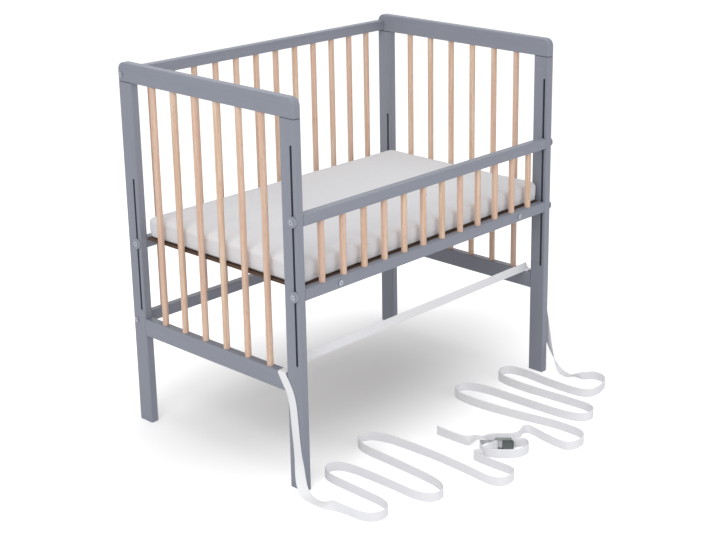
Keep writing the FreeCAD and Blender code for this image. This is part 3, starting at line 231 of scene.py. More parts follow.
def settle(piece: Piece, name: str) -> Piece:
    """Names a piece and puts its place, turn and scale into its mesh.

    Args:
        piece: The piece to settle.
        name: Its name from now on.

    Returns:
        The same piece, at the origin, unturned and unscaled.
    """
    piece.name = name
    piece.data.name = name
    select_only(piece)
    bpy.ops.object.transform_apply(location=True, rotation=True, scale=True)
    return piece


def apply_modifier(piece: Piece, kind: str, **settings: Any) -> None:
    """Adds a modifier with its settings and applies it.

    Args:
        piece: The piece to change.
        kind: The modifier's type.
        **settings: Properties of the modifier.
    """
    select_only(piece)
    modifier = piece.modifiers.new(kind.lower(), kind)
    for name, value in settings.items():
        setattr(modifier, name, value)
    bpy.ops.object.modifier_apply(modifier=modifier.name)


def dress(piece: Piece, material: Material) -> Piece:
    """Gives a piece one material all over.

    Args:
        piece: The piece to dress.
        material: Its finish.

    Returns:
        The same piece.
    """
    if not piece.material_slots:
        piece.data.materials.append(material)
    for slot in piece.material_slots:
        slot.material = material
    return piece


# ---- finishes

class Finish(Protocol):
    """What every finish can do."""

    def material(self) -> Material:
        """Makes the finish's material."""


@dataclass(frozen=True)
class SatinPaintedPine:
    """Grey satin paint on planed pine."""

    grain: Grain
    colour: str = "#8D919D"
    deeper: str = "#868A96"
    grain_width_mm: float = 3.0
    grain_share: float = 0.05
    mottle_mm: float = 40.0
    roller_mm: float = 1.6
    # Painted shade: a dark line is painted on a post just under its top rail, for the shade in the
    # joint's groove. It fades in below the joint and is full from this share of its width.
    joint_z: float | None = None
    joint_shade: str = "#4E525E"
    joint_shade_mm: float = 1.8
    joint_shade_full: float = 0.7
    # Painted shade: the walls of the slots are painted dark, for the shade deep inside them. Each
    # row is a slot's place along Y, and its lower and upper end.
    slots_mm: tuple[Triple, ...] = ((-300.0, 318.0, 852.0), (277.5, 313.0, 666.0))
    slot_width_mm: float = 6.6
    slot_shade: str = "#545868"
    shade_past_wall_mm: float = 0.05
    shade_short_of_end_mm: float = 1.5

    def material(self) -> Material:
        """Makes the paint, with its grain along the piece.

        Returns:
            The material.
        """
        # Satin paint gives an even grey with soft wide highlights, and the pine's grain and
        # the roller's stipple only just stand up in it.
        made, tree = new_material(f"satin_painted_pine_{self.grain.name.lower()}")
        place = add_node(tree, "TexCoord").outputs["Object"]
        along = add_node(tree, "Mapping", {"Scale": self.grain.drawn_out(self.grain_share)},
                         {"Vector": place})
        grain = add_node(tree, "TexNoise",
                         {"Scale": per_mm(self.grain_width_mm), "Detail": 4.0, "Roughness": 0.6},
                         {"Vector": along})
        mottle = add_node(tree, "TexNoise", {"Scale": per_mm(self.mottle_mm), "Detail": 2.0},
                          {"Vector": along})
        half = add_node(tree, "Math", {1: 0.5}, {0: mottle}, operation="MULTIPLY")
        blend = add_node(tree, "Math", {1: 0.5}, {0: grain, 2: half}, operation="MULTIPLY_ADD")
        spread = add_node(tree, "MapRange", {"From Min": 0.35, "From Max": 0.65}, {"Value": blend})
        tint = add_node(tree, "Mix", {FIRST: linear(self.deeper), SECOND: linear(self.colour)},
                        {SHARE: spread}, data_type="RGBA").outputs[MIXED]
        roller = add_node(tree, "TexNoise", {"Scale": per_mm(self.roller_mm)}, {"Vector": place})
        raised = add_node(tree, "Bump", {"Strength": 0.16, "Distance": 0.0004}, {"Height": grain})
        stipple = add_node(tree, "Bump", {"Strength": 0.05, "Distance": 0.0003},
                           {"Height": roller, "Normal": raised})
        # Posts get painted shade under their top rail and in their slots.
        if self.joint_z is not None:
            tint = self.with_painted_shade(tree, place, tint)
        return shaded(made, {"Roughness": 0.42, "IOR": 1.5, "Specular IOR Level": 0.45},
                      {"Base Color": tint, "Normal": stipple})

    def with_painted_shade(self, tree: Tree, place: Socket, tint: Socket) -> Socket:
        """Paints shade on a post: a dark line under its top rail, and dark walls in its slots.

        Args:
            tree: The paint's node tree.
            place: The object's coordinates.
            tint: The colour of the plain paint.

        Returns:
            The colour of the paint with its painted shade.
        """
        parts = add_node(tree, "SeparateXYZ", links={"Vector": place})
        # Painted shade under the joint with the top rail.
        joint_shade = self.joint_shade_mm * MM
        joint_shade_mask = add_node(tree, "MapRange",
                          {"From Min": self.joint_z - joint_shade,
                           "From Max": self.joint_z - joint_shade * self.joint_shade_full},
                          {"Value": parts.outputs["Z"]})
        tint = add_node(tree, "Mix", {SECOND: linear(self.joint_shade)},
                        {SHARE: joint_shade_mask, FIRST: tint}, data_type="RGBA").outputs[MIXED]
        # Painted shade on the walls of each slot.
        half_width = (self.slot_width_mm / 2 + self.shade_past_wall_mm) * MM
        for axis, low, high in self.slots_mm:
            half_length = ((high - low) / 2 - self.shade_short_of_end_mm) * MM
            across = add_node(tree, "Math", {1: axis * MM, 2: half_width}, {0: parts.outputs["Y"]},
                              operation="COMPARE")
            upright = add_node(tree, "Math", {1: (low + high) / 2 * MM, 2: half_length},
                               {0: parts.outputs["Z"]}, operation="COMPARE")
            inside = add_node(tree, "Math", links={0: across, 1: upright}, operation="MULTIPLY")
            tint = add_node(tree, "Mix", {SECOND: linear(self.slot_shade)},
                            {SHARE: inside, FIRST: tint}, data_type="RGBA").outputs[MIXED]
        return tint


@dataclass(frozen=True)
class LacqueredBeech:
    """Beech under matt lacquer."""

    grain: Grain
    light: str = "#E8D0B8"
    dark: str = "#D4B097"
    rosy: str = "#DCB9A6"
    ray: str = "#B48C72"
    band_mm: float = 5.0
    band_share: float = 0.03
    ray_width_mm: float = 0.9
    ray_length_mm: float = 9.0
    # Bars that stand this far apart have a cast of their own.
    cast_mm: float = 60.0

    def material(self) -> Material:
        """Makes the beech, each bar of a slightly different cast.

        Returns:
            The material.
        """
        # Beech is a pinkish tan with faint bands and short dark rays, and the matt lacquer
        # leaves it only a soft sheen.
        made, tree = new_material(f"lacquered_beech_{self.grain.name.lower()}")
        place = add_node(tree, "TexCoord").outputs["Object"]
        banding, barwise, raywise = (
            add_node(tree, "Mapping", {"Scale": self.grain.drawn_out(share)}, {"Vector": place})
            for share in (self.band_share, 0.0, self.ray_width_mm / self.ray_length_mm))
        bands = add_node(tree, "TexNoise",
                         {"Scale": per_mm(self.band_mm), "Detail": 3.0, "Distortion": 0.4},
                         {"Vector": banding})
        band_mask = add_node(tree, "MapRange", {"From Min": 0.38, "From Max": 0.62},
                             {"Value": bands})
        banded = add_node(tree, "Mix", {FIRST: linear(self.dark), SECOND: linear(self.light)},
                          {SHARE: band_mask}, data_type="RGBA")
        cast = add_node(tree, "TexNoise", {"Scale": per_mm(self.cast_mm), "Detail": 0.0},
                        {"Vector": barwise})
        cast_mask = add_node(tree, "MapRange",
                             {"From Min": 0.35, "From Max": 0.65, "To Max": 0.75}, {"Value": cast})
        tinted = add_node(tree, "Mix", {SECOND: linear(self.rosy)},
                          {SHARE: cast_mask, FIRST: banded.outputs[MIXED]}, data_type="RGBA")
        rays = add_node(tree, "TexNoise", {"Scale": per_mm(self.ray_width_mm * 2), "Detail": 1.0},
                        {"Vector": raywise})
        ray_mask = add_node(tree, "MapRange", {"From Min": 0.62, "From Max": 0.72, "To Max": 0.55},
                            {"Value": rays})
        flecked = add_node(tree, "Mix", {SECOND: linear(self.ray)},
                           {SHARE: ray_mask, FIRST: tinted.outputs[MIXED]}, data_type="RGBA")
        relief = add_node(tree, "Bump", {"Strength": 0.12, "Distance": 0.0003}, {"Height": bands})
        return shaded(made, {"Roughness": 0.5, "IOR": 1.48, "Specular IOR Level": 0.4},
                      {"Base Color": flecked.outputs[MIXED], "Normal": relief})


@dataclass(frozen=True)
class Hardboard:
    """Bare hardboard."""

    colour: str = "#4C3930"
    fibre: str = "#66503F"
    fibre_mm: float = 1.5

    def material(self) -> Material:
        """Makes the board's fibres.

        Returns:
            The material.
        """
        # Pressed wood fibres lie in every direction: dark brown, dull and faintly felted.
        made, tree = new_material("hardboard")
        place = add_node(tree, "TexCoord").outputs["Object"]
        fibres = add_node(tree, "TexNoise",
                          {"Scale": per_mm(self.fibre_mm), "Detail": 5.0, "Distortion": 1.2},
                          {"Vector": place})
        tint = add_node(tree, "Mix", {FIRST: linear(self.colour), SECOND: linear(self.fibre)},
                        {SHARE: fibres}, data_type="RGBA")
        relief = add_node(tree, "Bump", {"Strength": 0.3, "Distance": 0.0003}, {"Height": fibres})
        return shaded(made, {"Roughness": 0.8, "IOR": 1.45},
                      {"Base Color": tint.outputs[MIXED], "Normal": relief})


@dataclass(frozen=True)
class BrushedCotton:
    """Brushed cotton, woven plain."""

    colour: str = "#E8E8EA"
    hollow: str = "#DDDEE2"
    # The threads lie 0.4 mm apart. They are drawn at 2.4 mm so that the weave shows.
    thread_mm: float = 2.4
    nap_mm: float = 5.0
    crease_mm: float = 55.0
    crease_share: float = 0.35

    def material(self) -> Material:
        """Makes the weave, its nap and the faint creases of the cloth.

        Returns:
            The material.
        """
        # Brushing raises a nap: a matt off-white with a soft bright edge, in which the weave
        # is blurred and the creases are shallow.
        made, tree = new_material("brushed_cotton")
        place = add_node(tree, "TexCoord").outputs["Object"]
        # One wave is a pair of threads, one over and one under.
        turns = per_mm(2 * self.thread_mm) * 2 * math.pi / WAVE_TURN
        wave = {"Scale": turns, "Distortion": 0.6, "Detail": 1.0}
        warp, weft = (add_node(tree, "TexWave", wave, {"Vector": place},
                               bands_direction=direction).outputs["Fac"]
                      for direction in ("X", "Y"))
        weave = add_node(tree, "Math", links={0: warp, 1: weft}, operation="MULTIPLY")
        nap = add_node(tree, "TexNoise", {"Scale": per_mm(self.nap_mm), "Detail": 4.0},
                       {"Vector": place})
        lengthways = add_node(tree, "Mapping",
                              {"Scale": Grain.ALONG_X.drawn_out(self.crease_share)},
                              {"Vector": place})
        creases = add_node(tree, "TexNoise",
                           {"Scale": per_mm(self.crease_mm), "Detail": 3.0, "Distortion": 0.5},
                           {"Vector": lengthways})
        tint = add_node(tree, "Mix", {FIRST: linear(self.hollow), SECOND: linear(self.colour)},
                        {SHARE: nap}, data_type="RGBA")
        fine = add_node(tree, "Bump", {"Strength": 0.18, "Distance": 0.0004}, {"Height": weave})
        folds = add_node(tree, "Bump", {"Strength": 0.35, "Distance": 0.004},
                         {"Height": creases, "Normal": fine})
        return shaded(made, {"Roughness": 0.92, "IOR": 1.45, "Sheen Weight": 0.12,
                             "Sheen Roughness": 0.5, "Specular IOR Level": 0.2},
                      {"Base Color": tint.outputs[MIXED], "Normal": folds})


@dataclass(frozen=True)
class PolyesterWebbing:
    """Flat woven polyester webbing."""

    colour: str = "#FCFCFD"
    # The colour between the ribs: darker for painted shade in their valleys.
    between: str = "#E9EAEE"
    # The ribs lie 1.2 mm apart. They are drawn at 3 mm so that the weave shows.
    rib_mm: float = 3.0
    width_mm: float = 25.0
    # The ribs fade out between these shares of the width, measured from the middle.
    selvedge: Pair = (0.42, 0.46)

    def material(self) -> Material:
        """Makes the ribs from the piece's own lengthwise and crosswise coordinates.

        Returns:
            The material.
        """
        # The weave makes chevron ribs between two plain selvedges: bright white ridges that
        # shimmer faintly, with pale grey between them, which is painted shade in the ribs'
        # valleys.
        made, tree = new_material("polyester_webbing")
        width = self.width_mm * MM
        place = add_node(tree, "UVMap", uv_map="webbing")
        parts = add_node(tree, "SeparateXYZ", links={"Vector": place})
        middle = add_node(tree, "Math", {1: width / 2}, {0: parts.outputs["Y"]},
                          operation="SUBTRACT")
        fold = add_node(tree, "Math", {1: width / 4}, {0: middle}, operation="PINGPONG")
        slant = add_node(tree, "Math", links={0: parts.outputs["X"], 1: fold}, operation="ADD")
        turn = add_node(tree, "Math", {1: per_mm(self.rib_mm) * 2 * math.pi},
                        {0: slant}, operation="MULTIPLY")
        ribs = add_node(tree, "Math", links={0: turn}, operation="SINE")
        edge = add_node(tree, "Math", links={0: middle}, operation="ABSOLUTE")
        plain = add_node(tree, "MapRange",
                         {"From Min": width * self.selvedge[0],
                          "From Max": width * self.selvedge[1], "To Min": 1.0, "To Max": 0.0},
                         {"Value": edge})
        kept = add_node(tree, "Math", links={0: ribs, 1: plain}, operation="MULTIPLY")
        height = add_node(tree, "MapRange", {"From Min": -1.0}, {"Value": kept})
        # Painted shade: the lower the weave, the greyer it is.
        tint = add_node(tree, "Mix", {FIRST: linear(self.between), SECOND: linear(self.colour)},
                        {SHARE: height}, data_type="RGBA")
        relief = add_node(tree, "Bump", {"Strength": 0.3, "Distance": 0.0004}, {"Height": height})
        return shaded(made, {"Roughness": 0.7, "IOR": 1.5, "Sheen Weight": 0.15,
                             "Specular IOR Level": 0.3},
                      {"Base Color": tint.outputs[MIXED], "Normal": relief})


@dataclass(frozen=True)
class CoatedSteel:
    """Rolled steel with a thin coat."""

    coat: Coat
    grain_mm: float = 0.6

    def material(self) -> Material:
        """Makes the metal and its coat.

        Returns:
            The material.
        """
        # The coat gives the metal its cast, and the grain of the rolling under it breaks its
        # highlights a little.
        name, colour, roughness = self.coat.value
        made, tree = new_material(name)
        place = add_node(tree, "TexCoord").outputs["Object"]
        grain = add_node(tree, "TexNoise", {"Scale": per_mm(self.grain_mm), "Detail": 3.0},
                         {"Vector": place})
        rough = add_node(tree, "MapRange", {"To Min": roughness * 0.8, "To Max": roughness * 1.2},
                         {"Value": grain})
        relief = add_node(tree, "Bump", {"Strength": 0.05, "Distance": 0.0001}, {"Height": grain})
        return shaded(made, {"Base Color": linear(colour), "Metallic": 1.0},
                      {"Roughness": rough, "Normal": relief})


@dataclass(frozen=True)
class MouldedNylon:
    """Moulded grey nylon."""

    colour: str = "#8F939E"
    texture_mm: float = 0.5

    def material(self) -> Material:
        """Makes the nylon and the texture of its mould.

        Returns:
            The material.
        """
        # A spark-eroded mould leaves a fine even texture, which turns gloss to satin.
        made, tree = new_material("moulded_nylon")
        place = add_node(tree, "TexCoord").outputs["Object"]
        spark = add_node(tree, "TexNoise", {"Scale": per_mm(self.texture_mm), "Detail": 2.0},
                         {"Vector": place})
        relief = add_node(tree, "Bump", {"Strength": 0.15, "Distance": 0.0002}, {"Height": spark})
        return shaded(made, {"Base Color": linear(self.colour), "Roughness": 0.4, "IOR": 1.53},
                      {"Normal": relief})


def dress_nodes(*rows: tuple[tuple[str, ...], Finish]) -> list[Piece]:
    """Dresses pieces of the frame.

    Args:
        *rows: Names of pieces, with the finish that they share.

    Returns:
        The dressed pieces.
    """
    dressed = []
    for names, finish in rows:
        material = finish.material()
        dressed += [dress(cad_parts[name], material) for name in names]
    return dressed


# ---- woodwork

@dataclass
class Woodwork:
    """The end frames, the panels and the deck's timber."""

    posts: tuple[str, ...] = ("left_front_post", "right_front_post", "left_back_post",
                              "right_back_post")
    end_rails: tuple[str, ...] = ("left_top_rail", "right_top_rail", "left_bottom_rail",
                                  "right_bottom_rail")
    long_rails: tuple[str, ...] = ("back_top_rail", "back_bottom_rail", "front_top_rail",
                                   "front_bottom_rail", "deck_rear_rail")
    bars: tuple[str, ...] = ("left_end_bars", "right_end_bars", "back_bars", "front_bars",
                             "frame_dowels")
    cross_rails: tuple[str, ...] = ("deck_cross_rails",)
    boards: tuple[str, ...] = ("base_board",)

    def build(self) -> list[Piece]:
        """Paints the pine, lacquers the beech and leaves the board bare.

        Returns:
            The dressed pieces.
        """
        joint_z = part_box("left_front_post")[1].z
        return dress_nodes((self.posts, SatinPaintedPine(Grain.ALONG_Z, joint_z=joint_z)),
                           (self.end_rails, SatinPaintedPine(Grain.ALONG_Y)),
                           (self.long_rails, SatinPaintedPine(Grain.ALONG_X)),
                           (self.bars, LacqueredBeech(Grain.ALONG_Z)),
                           (self.cross_rails, LacqueredBeech(Grain.ALONG_Y)),
                           (self.boards, Hardboard()))


# ---- fittings

@dataclass
class Fittings:
    """Bolts, nuts, screws, the round covers on the slots and the buckle."""

    fasteners: tuple[str, ...] = ("clamp_bolts", "clamp_nuts", "back_panel_bolts",
                                  "back_panel_nuts", "cross_rail_bolts", "cross_rail_nuts",
                                  "board_screws")
    covers: tuple[str, ...] = ("clamp_washers",)
    buckle: tuple[str, ...] = ("buckle_frame", "buckle_pin")
    lever: tuple[str, ...] = ("buckle_lever",)

    def build(self) -> list[Piece]:
        """Plates, oils and moulds the fittings.

        Returns:
            The dressed pieces.
        """
        return dress_nodes((self.fasteners, CoatedSteel(Coat.ZINC)),
                           (self.covers, MouldedNylon()),
                           (self.lever, CoatedSteel(Coat.OIL)),
                           (self.buckle, CoatedSteel(Coat.NICKEL)))


# ---- mattress

@dataclass
class Mattress:
    """A foam pad in a cotton cover: square sides, soft edges, a low zip seam round it."""

    # How far the finished cover stands proud of the frame's solid at its ends, sides and top.
    proud_mm: Triple = (2.8, 1.4, 3.0)
    foot_mm: float = 0.2
    # The foam, before its cover swells.
    inset_mm: float = 4.5
    corner_mm: float = 17.0
    rim_mm: float = 9.5
    voxel_mm: float = 7.0
    # The swelling of the cover.
    pressure: float = 4.0
    frames: int = 20
    most_move_mm: float = 6.0
    # The height up to which the foot is pressed towards the board, and how hard.
    pressed_mm: float = 16.0
    pressed_power: float = 2.6
    # The zip seam, a shallow groove round the sides.
    seam_height_mm: float = 13.0
    seam_depth_mm: float = 1.3
    seam_width_mm: float = 2.0
    # The unevenness of the top and of the sides: its height, its repeats a metre along X and
    # Y, and the slice of the noise that it is read from.
    ripple_mm: float = 1.2
    ripple_place: Triple = (11.0, 26.0, 3.1)
    pucker_mm: float = 0.9
    pucker_place: Triple = (34.0, 34.0, 7.7)
    low: Vector = field(init=False)
    high: Vector = field(init=False)

    def __post_init__(self) -> None:
        """Works out the space of the finished pad from the frame's solid."""
        low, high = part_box("mattress")
        proud = Vector(self.proud_mm) * MM
        self.low = Vector((low.x - proud.x, low.y - proud.y, low.z + self.foot_mm * MM))
        self.high = high + proud

    def build(self) -> list[Piece]:
        """Returns:
            The finished pad, as the only piece.
        """
        pad = self.start()
        self.swell(pad)
        self.fit(pad)
        apply_modifier(pad, "SUBSURF", levels=1, render_levels=1)
        self.sew(pad)
        settle(pad, "mattress_cover")
        dress(pad, BrushedCotton().material())
        select_only(pad)
        bpy.ops.object.shade_smooth()
        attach(pad, "deck")
        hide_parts("mattress")
        return [pad]

    def start(self) -> Piece:
        """Makes the block of foam with its rounded corners, as an even mesh.

        Returns:
            The start of the pad.
        """
        size = self.high - self.low - Vector.Fill(3, 2 * self.inset_mm * MM)
        clear_selection()
        bpy.ops.mesh.primitive_cube_add(size=1, location=(self.low + self.high) / 2)
        pad = bpy.context.active_object
        pad.scale = size
        settle(pad, "pad")
        bpy.ops.object.mode_set(mode="EDIT")
        block = bmesh.from_edit_mesh(pad.data)
        for edge in block.edges:
            first, second = edge.verts
            edge.select_set(abs(first.co.z - second.co.z) > size.z / 2)
        bmesh.update_edit_mesh(pad.data)
        bpy.ops.mesh.bevel(offset=self.corner_mm * MM, segments=6)
        bpy.ops.object.mode_set(mode="OBJECT")
        apply_modifier(pad, "BEVEL", width=self.rim_mm * MM, segments=4,
                       limit_method="ANGLE", angle_limit=math.radians(40))
        apply_modifier(pad, "REMESH", mode="VOXEL", voxel_size=self.voxel_mm * MM)
        return pad

    def swell(self, pad: Piece) -> None:
        """Lets the cover swell over the foam, as far as the cap on its movement.

        Args:
            pad: The block of foam.
        """
        before = [vertex.co.copy() for vertex in pad.data.vertices]
        select_only(pad)
        cloth = pad.modifiers.new("cover", "CLOTH")
        cloth.settings.quality = 4
        cloth.settings.mass = 0.3
        cloth.settings.tension_stiffness = 25
        cloth.settings.compression_stiffness = 25
        cloth.settings.bending_stiffness = 0.6
        cloth.settings.use_pressure = True
        cloth.settings.uniform_pressure_force = self.pressure
        cloth.settings.effector_weights.gravity = 0
        cloth.point_cache.frame_start = 1
        cloth.point_cache.frame_end = self.frames
        for step in range(1, self.frames + 1):
            bpy.context.scene.frame_set(step)
        bpy.ops.object.modifier_apply(modifier=cloth.name)
        bpy.context.scene.frame_set(1)
        cap = self.most_move_mm * MM
        for vertex, start in zip(pad.data.vertices, before):
            move = vertex.co - start
            if move.length > cap:
                move *= cap / move.length
            vertex.co = start + move

    def fit(self, pad: Piece) -> None:
        """Stretches the pad to its space between the rails, and presses its foot flat.

        Args:
            pad: The swollen pad.
        """
        places = [vertex.co for vertex in pad.data.vertices]
        for axis in range(3):
            least = min(place[axis] for place in places)
            most = max(place[axis] for place in places)
            share = (self.high[axis] - self.low[axis]) / (most - least)
            for place in places:
                place[axis] = self.low[axis] + (place[axis] - least) * share
        rim = self.pressed_mm * MM
        for place in places:
            height = place.z - self.low.z
            if height < rim:
                place.z = self.low.z + rim * (height / rim) ** self.pressed_power

    def uneven(self, place: Vector, pattern: Triple) -> float:
        """Reads how far the cover is up or down at a place, from -1 to 1."""
        along, across, layer = pattern
        return noise.noise(Vector((place.x * along, place.y * across, layer)))

    def sew(self, pad: Piece) -> None:
        """Draws in the seam round the pad, softens its cover and keeps it in its space.

        Args:
            pad: The fitted pad.
        """
        seam = self.low.z + self.seam_height_mm * MM
        mesh = pad.data
        normals = [vertex.normal.copy() for vertex in mesh.vertices]
        for vertex, normal in zip(mesh.vertices, normals):
            side = 1 - abs(normal.z)
            away = (vertex.co.z - seam) / (self.seam_width_mm * MM)
            groove = self.seam_depth_mm * MM * math.exp(-away * away) * side
            ripple = self.uneven(vertex.co, self.ripple_place) * max(normal.z, 0.0)
            pucker = (self.uneven(vertex.co, self.pucker_place) - 1) * side
            soft = (self.ripple_mm * ripple + self.pucker_mm * pucker) * MM
            vertex.co += normal * (soft - groove)
            for axis in range(3):
                vertex.co[axis] = max(self.low[axis], min(self.high[axis], vertex.co[axis]))


# ---- strap

@dataclass
class StrapRoute:
    """A route of the webbing: given points with the direction of the width at each."""

    points: list[Vector] = field(default_factory=list)
    widths: list[Vector] = field(default_factory=list)

    def add(self, point: Triple | Vector, width: Triple | Vector) -> None:
        """Adds a point in millimetres and the direction of the webbing's width there."""
        self.points.append(Vector(point) * MM)
        self.widths.append(Vector(width).normalized())

    def smooth(self, name: str, values: list[Vector]) -> list[Vector]:
        """Reads the points of the smooth curve that has these values as its control points.

        Args:
            name: The curve's name.
            values: Places or directions, one for each point of the route.

        Returns:
            The curve's own points, as Blender gives them.
        """
        data = bpy.data.curves.new(name, "CURVE")
        data.dimensions = "3D"
        data.resolution_u = 8
        spline = data.splines.new("NURBS")
        spline.points.add(len(values) - 1)
        for point, value in zip(spline.points, values):
            point.co = (*value, 1.0)
        spline.order_u = 3
        spline.use_endpoint_u = True
        curve = bpy.data.objects.new(name, data)
        bpy.context.scene.collection.objects.link(curve)
        bpy.context.view_layer.update()
        line = bpy.data.meshes.new_from_object(curve)
        read = [vertex.co.copy() for vertex in line.vertices]
        bpy.data.objects.remove(curve)
        bpy.data.curves.remove(data)
        bpy.data.meshes.remove(line)
        return read


@dataclass
class Webbing:
    """Flat webbing that is swept along a route, with soft selvedges."""

    width_mm: float = 25.0
    thickness_mm: float = 1.5
    # The upper side of its section, as parts of its half width and half thickness.
    upper_side: tuple[Pair, ...] = ((-1.0, 0.0), (-0.965, 0.75), (-0.9, 1.0), (-0.45, 0.9),
                                    (0.0, 0.88), (0.45, 0.9), (0.9, 1.0), (0.965, 0.75))
    above_floor_mm: float = 0.05
    smooth_below: float = 40.0

    def section(self) -> list[Pair]:
        """Returns the outline of the webbing, as parts of its half width and thickness."""
        return [*self.upper_side, *((-across, -out) for across, out in self.upper_side)]

    def rings(self, name: str, route: StrapRoute) -> tuple[list[list[Vector]], list[Vector]]:
        """Places the webbing's section all along a route, nowhere below the floor.

        Args:
            name: The piece's name.
            route: Its points and widths.

        Returns:
            The corners of each section, and the points of the middle line.
        """
        line = route.smooth(name + "_line", route.points)
        widths = route.smooth(name + "_widths", route.widths)
        half, thick = self.width_mm * MM / 2, self.thickness_mm * MM / 2
        rings = []
        for number, (point, width) in enumerate(zip(line, widths)):
            run = (line[min(number + 1, len(line) - 1)] - line[max(number - 1, 0)]).normalized()
            across = (width - run * width.dot(run)).normalized()
            out = across.cross(run).normalized()
            ring = [point + across * (u * half) + out * (v * thick) for u, v in self.section()]
            low = min(corner.z for corner in ring)
            lift = Vector((0, 0, max(0.0, self.above_floor_mm * MM - low)))
            rings.append([corner + lift for corner in ring])
            line[number] = point + lift
        return rings, line

    def sweep(self, name: str, route: StrapRoute) -> tuple[Piece, list[Vector]]:
        """Sweeps the webbing along a route.

        Args:
            name: The piece's name.
            route: Its points and widths.

        Returns:
            The piece, and the points of its middle line.
        """
        rings, line = self.rings(name, route)
        travelled = [0.0]
        for before, after in zip(line, line[1:]):
            travelled.append(travelled[-1] + (after - before).length)
        crosswise = [self.width_mm * MM / 2 * (1 + u) for u, _ in self.section()]
        count = len(crosswise)
        body = bmesh.new()
        uv = body.loops.layers.uv.new("webbing")
        corners = [[body.verts.new(corner) for corner in ring] for ring in rings]
        for number in range(len(rings) - 1):
            for corner in range(count):
                outline = ((number, corner), (number, (corner + 1) % count),
                           (number + 1, (corner + 1) % count), (number + 1, corner))
                face = body.faces.new([corners[ring][place] for ring, place in outline])
                for loop, (ring, place) in zip(face.loops, outline):
                    loop[uv].uv = (travelled[ring], crosswise[place])
        for ring in (corners[0], corners[-1]):
            cap = body.faces.new(ring)
            for loop, across in zip(cap.loops, crosswise):
                loop[uv].uv = (0.0, across)
        bmesh.ops.recalc_face_normals(body, faces=body.faces)
        mesh = bpy.data.meshes.new(name)
        body.to_mesh(mesh)
        body.free()
        piece = bpy.data.objects.new(name, mesh)
        bpy.context.scene.collection.objects.link(piece)
        return piece, line


@dataclass(frozen=True)
class Stretch:
    """One length of the strap: the solids that it replaces, where it starts and how it ends."""

    name: str
    nodes: tuple[str, ...]
    start: Side
    length: float
    far_end: FarEnd
    lay: Lay
    pieces: tuple[str, ...] = ()


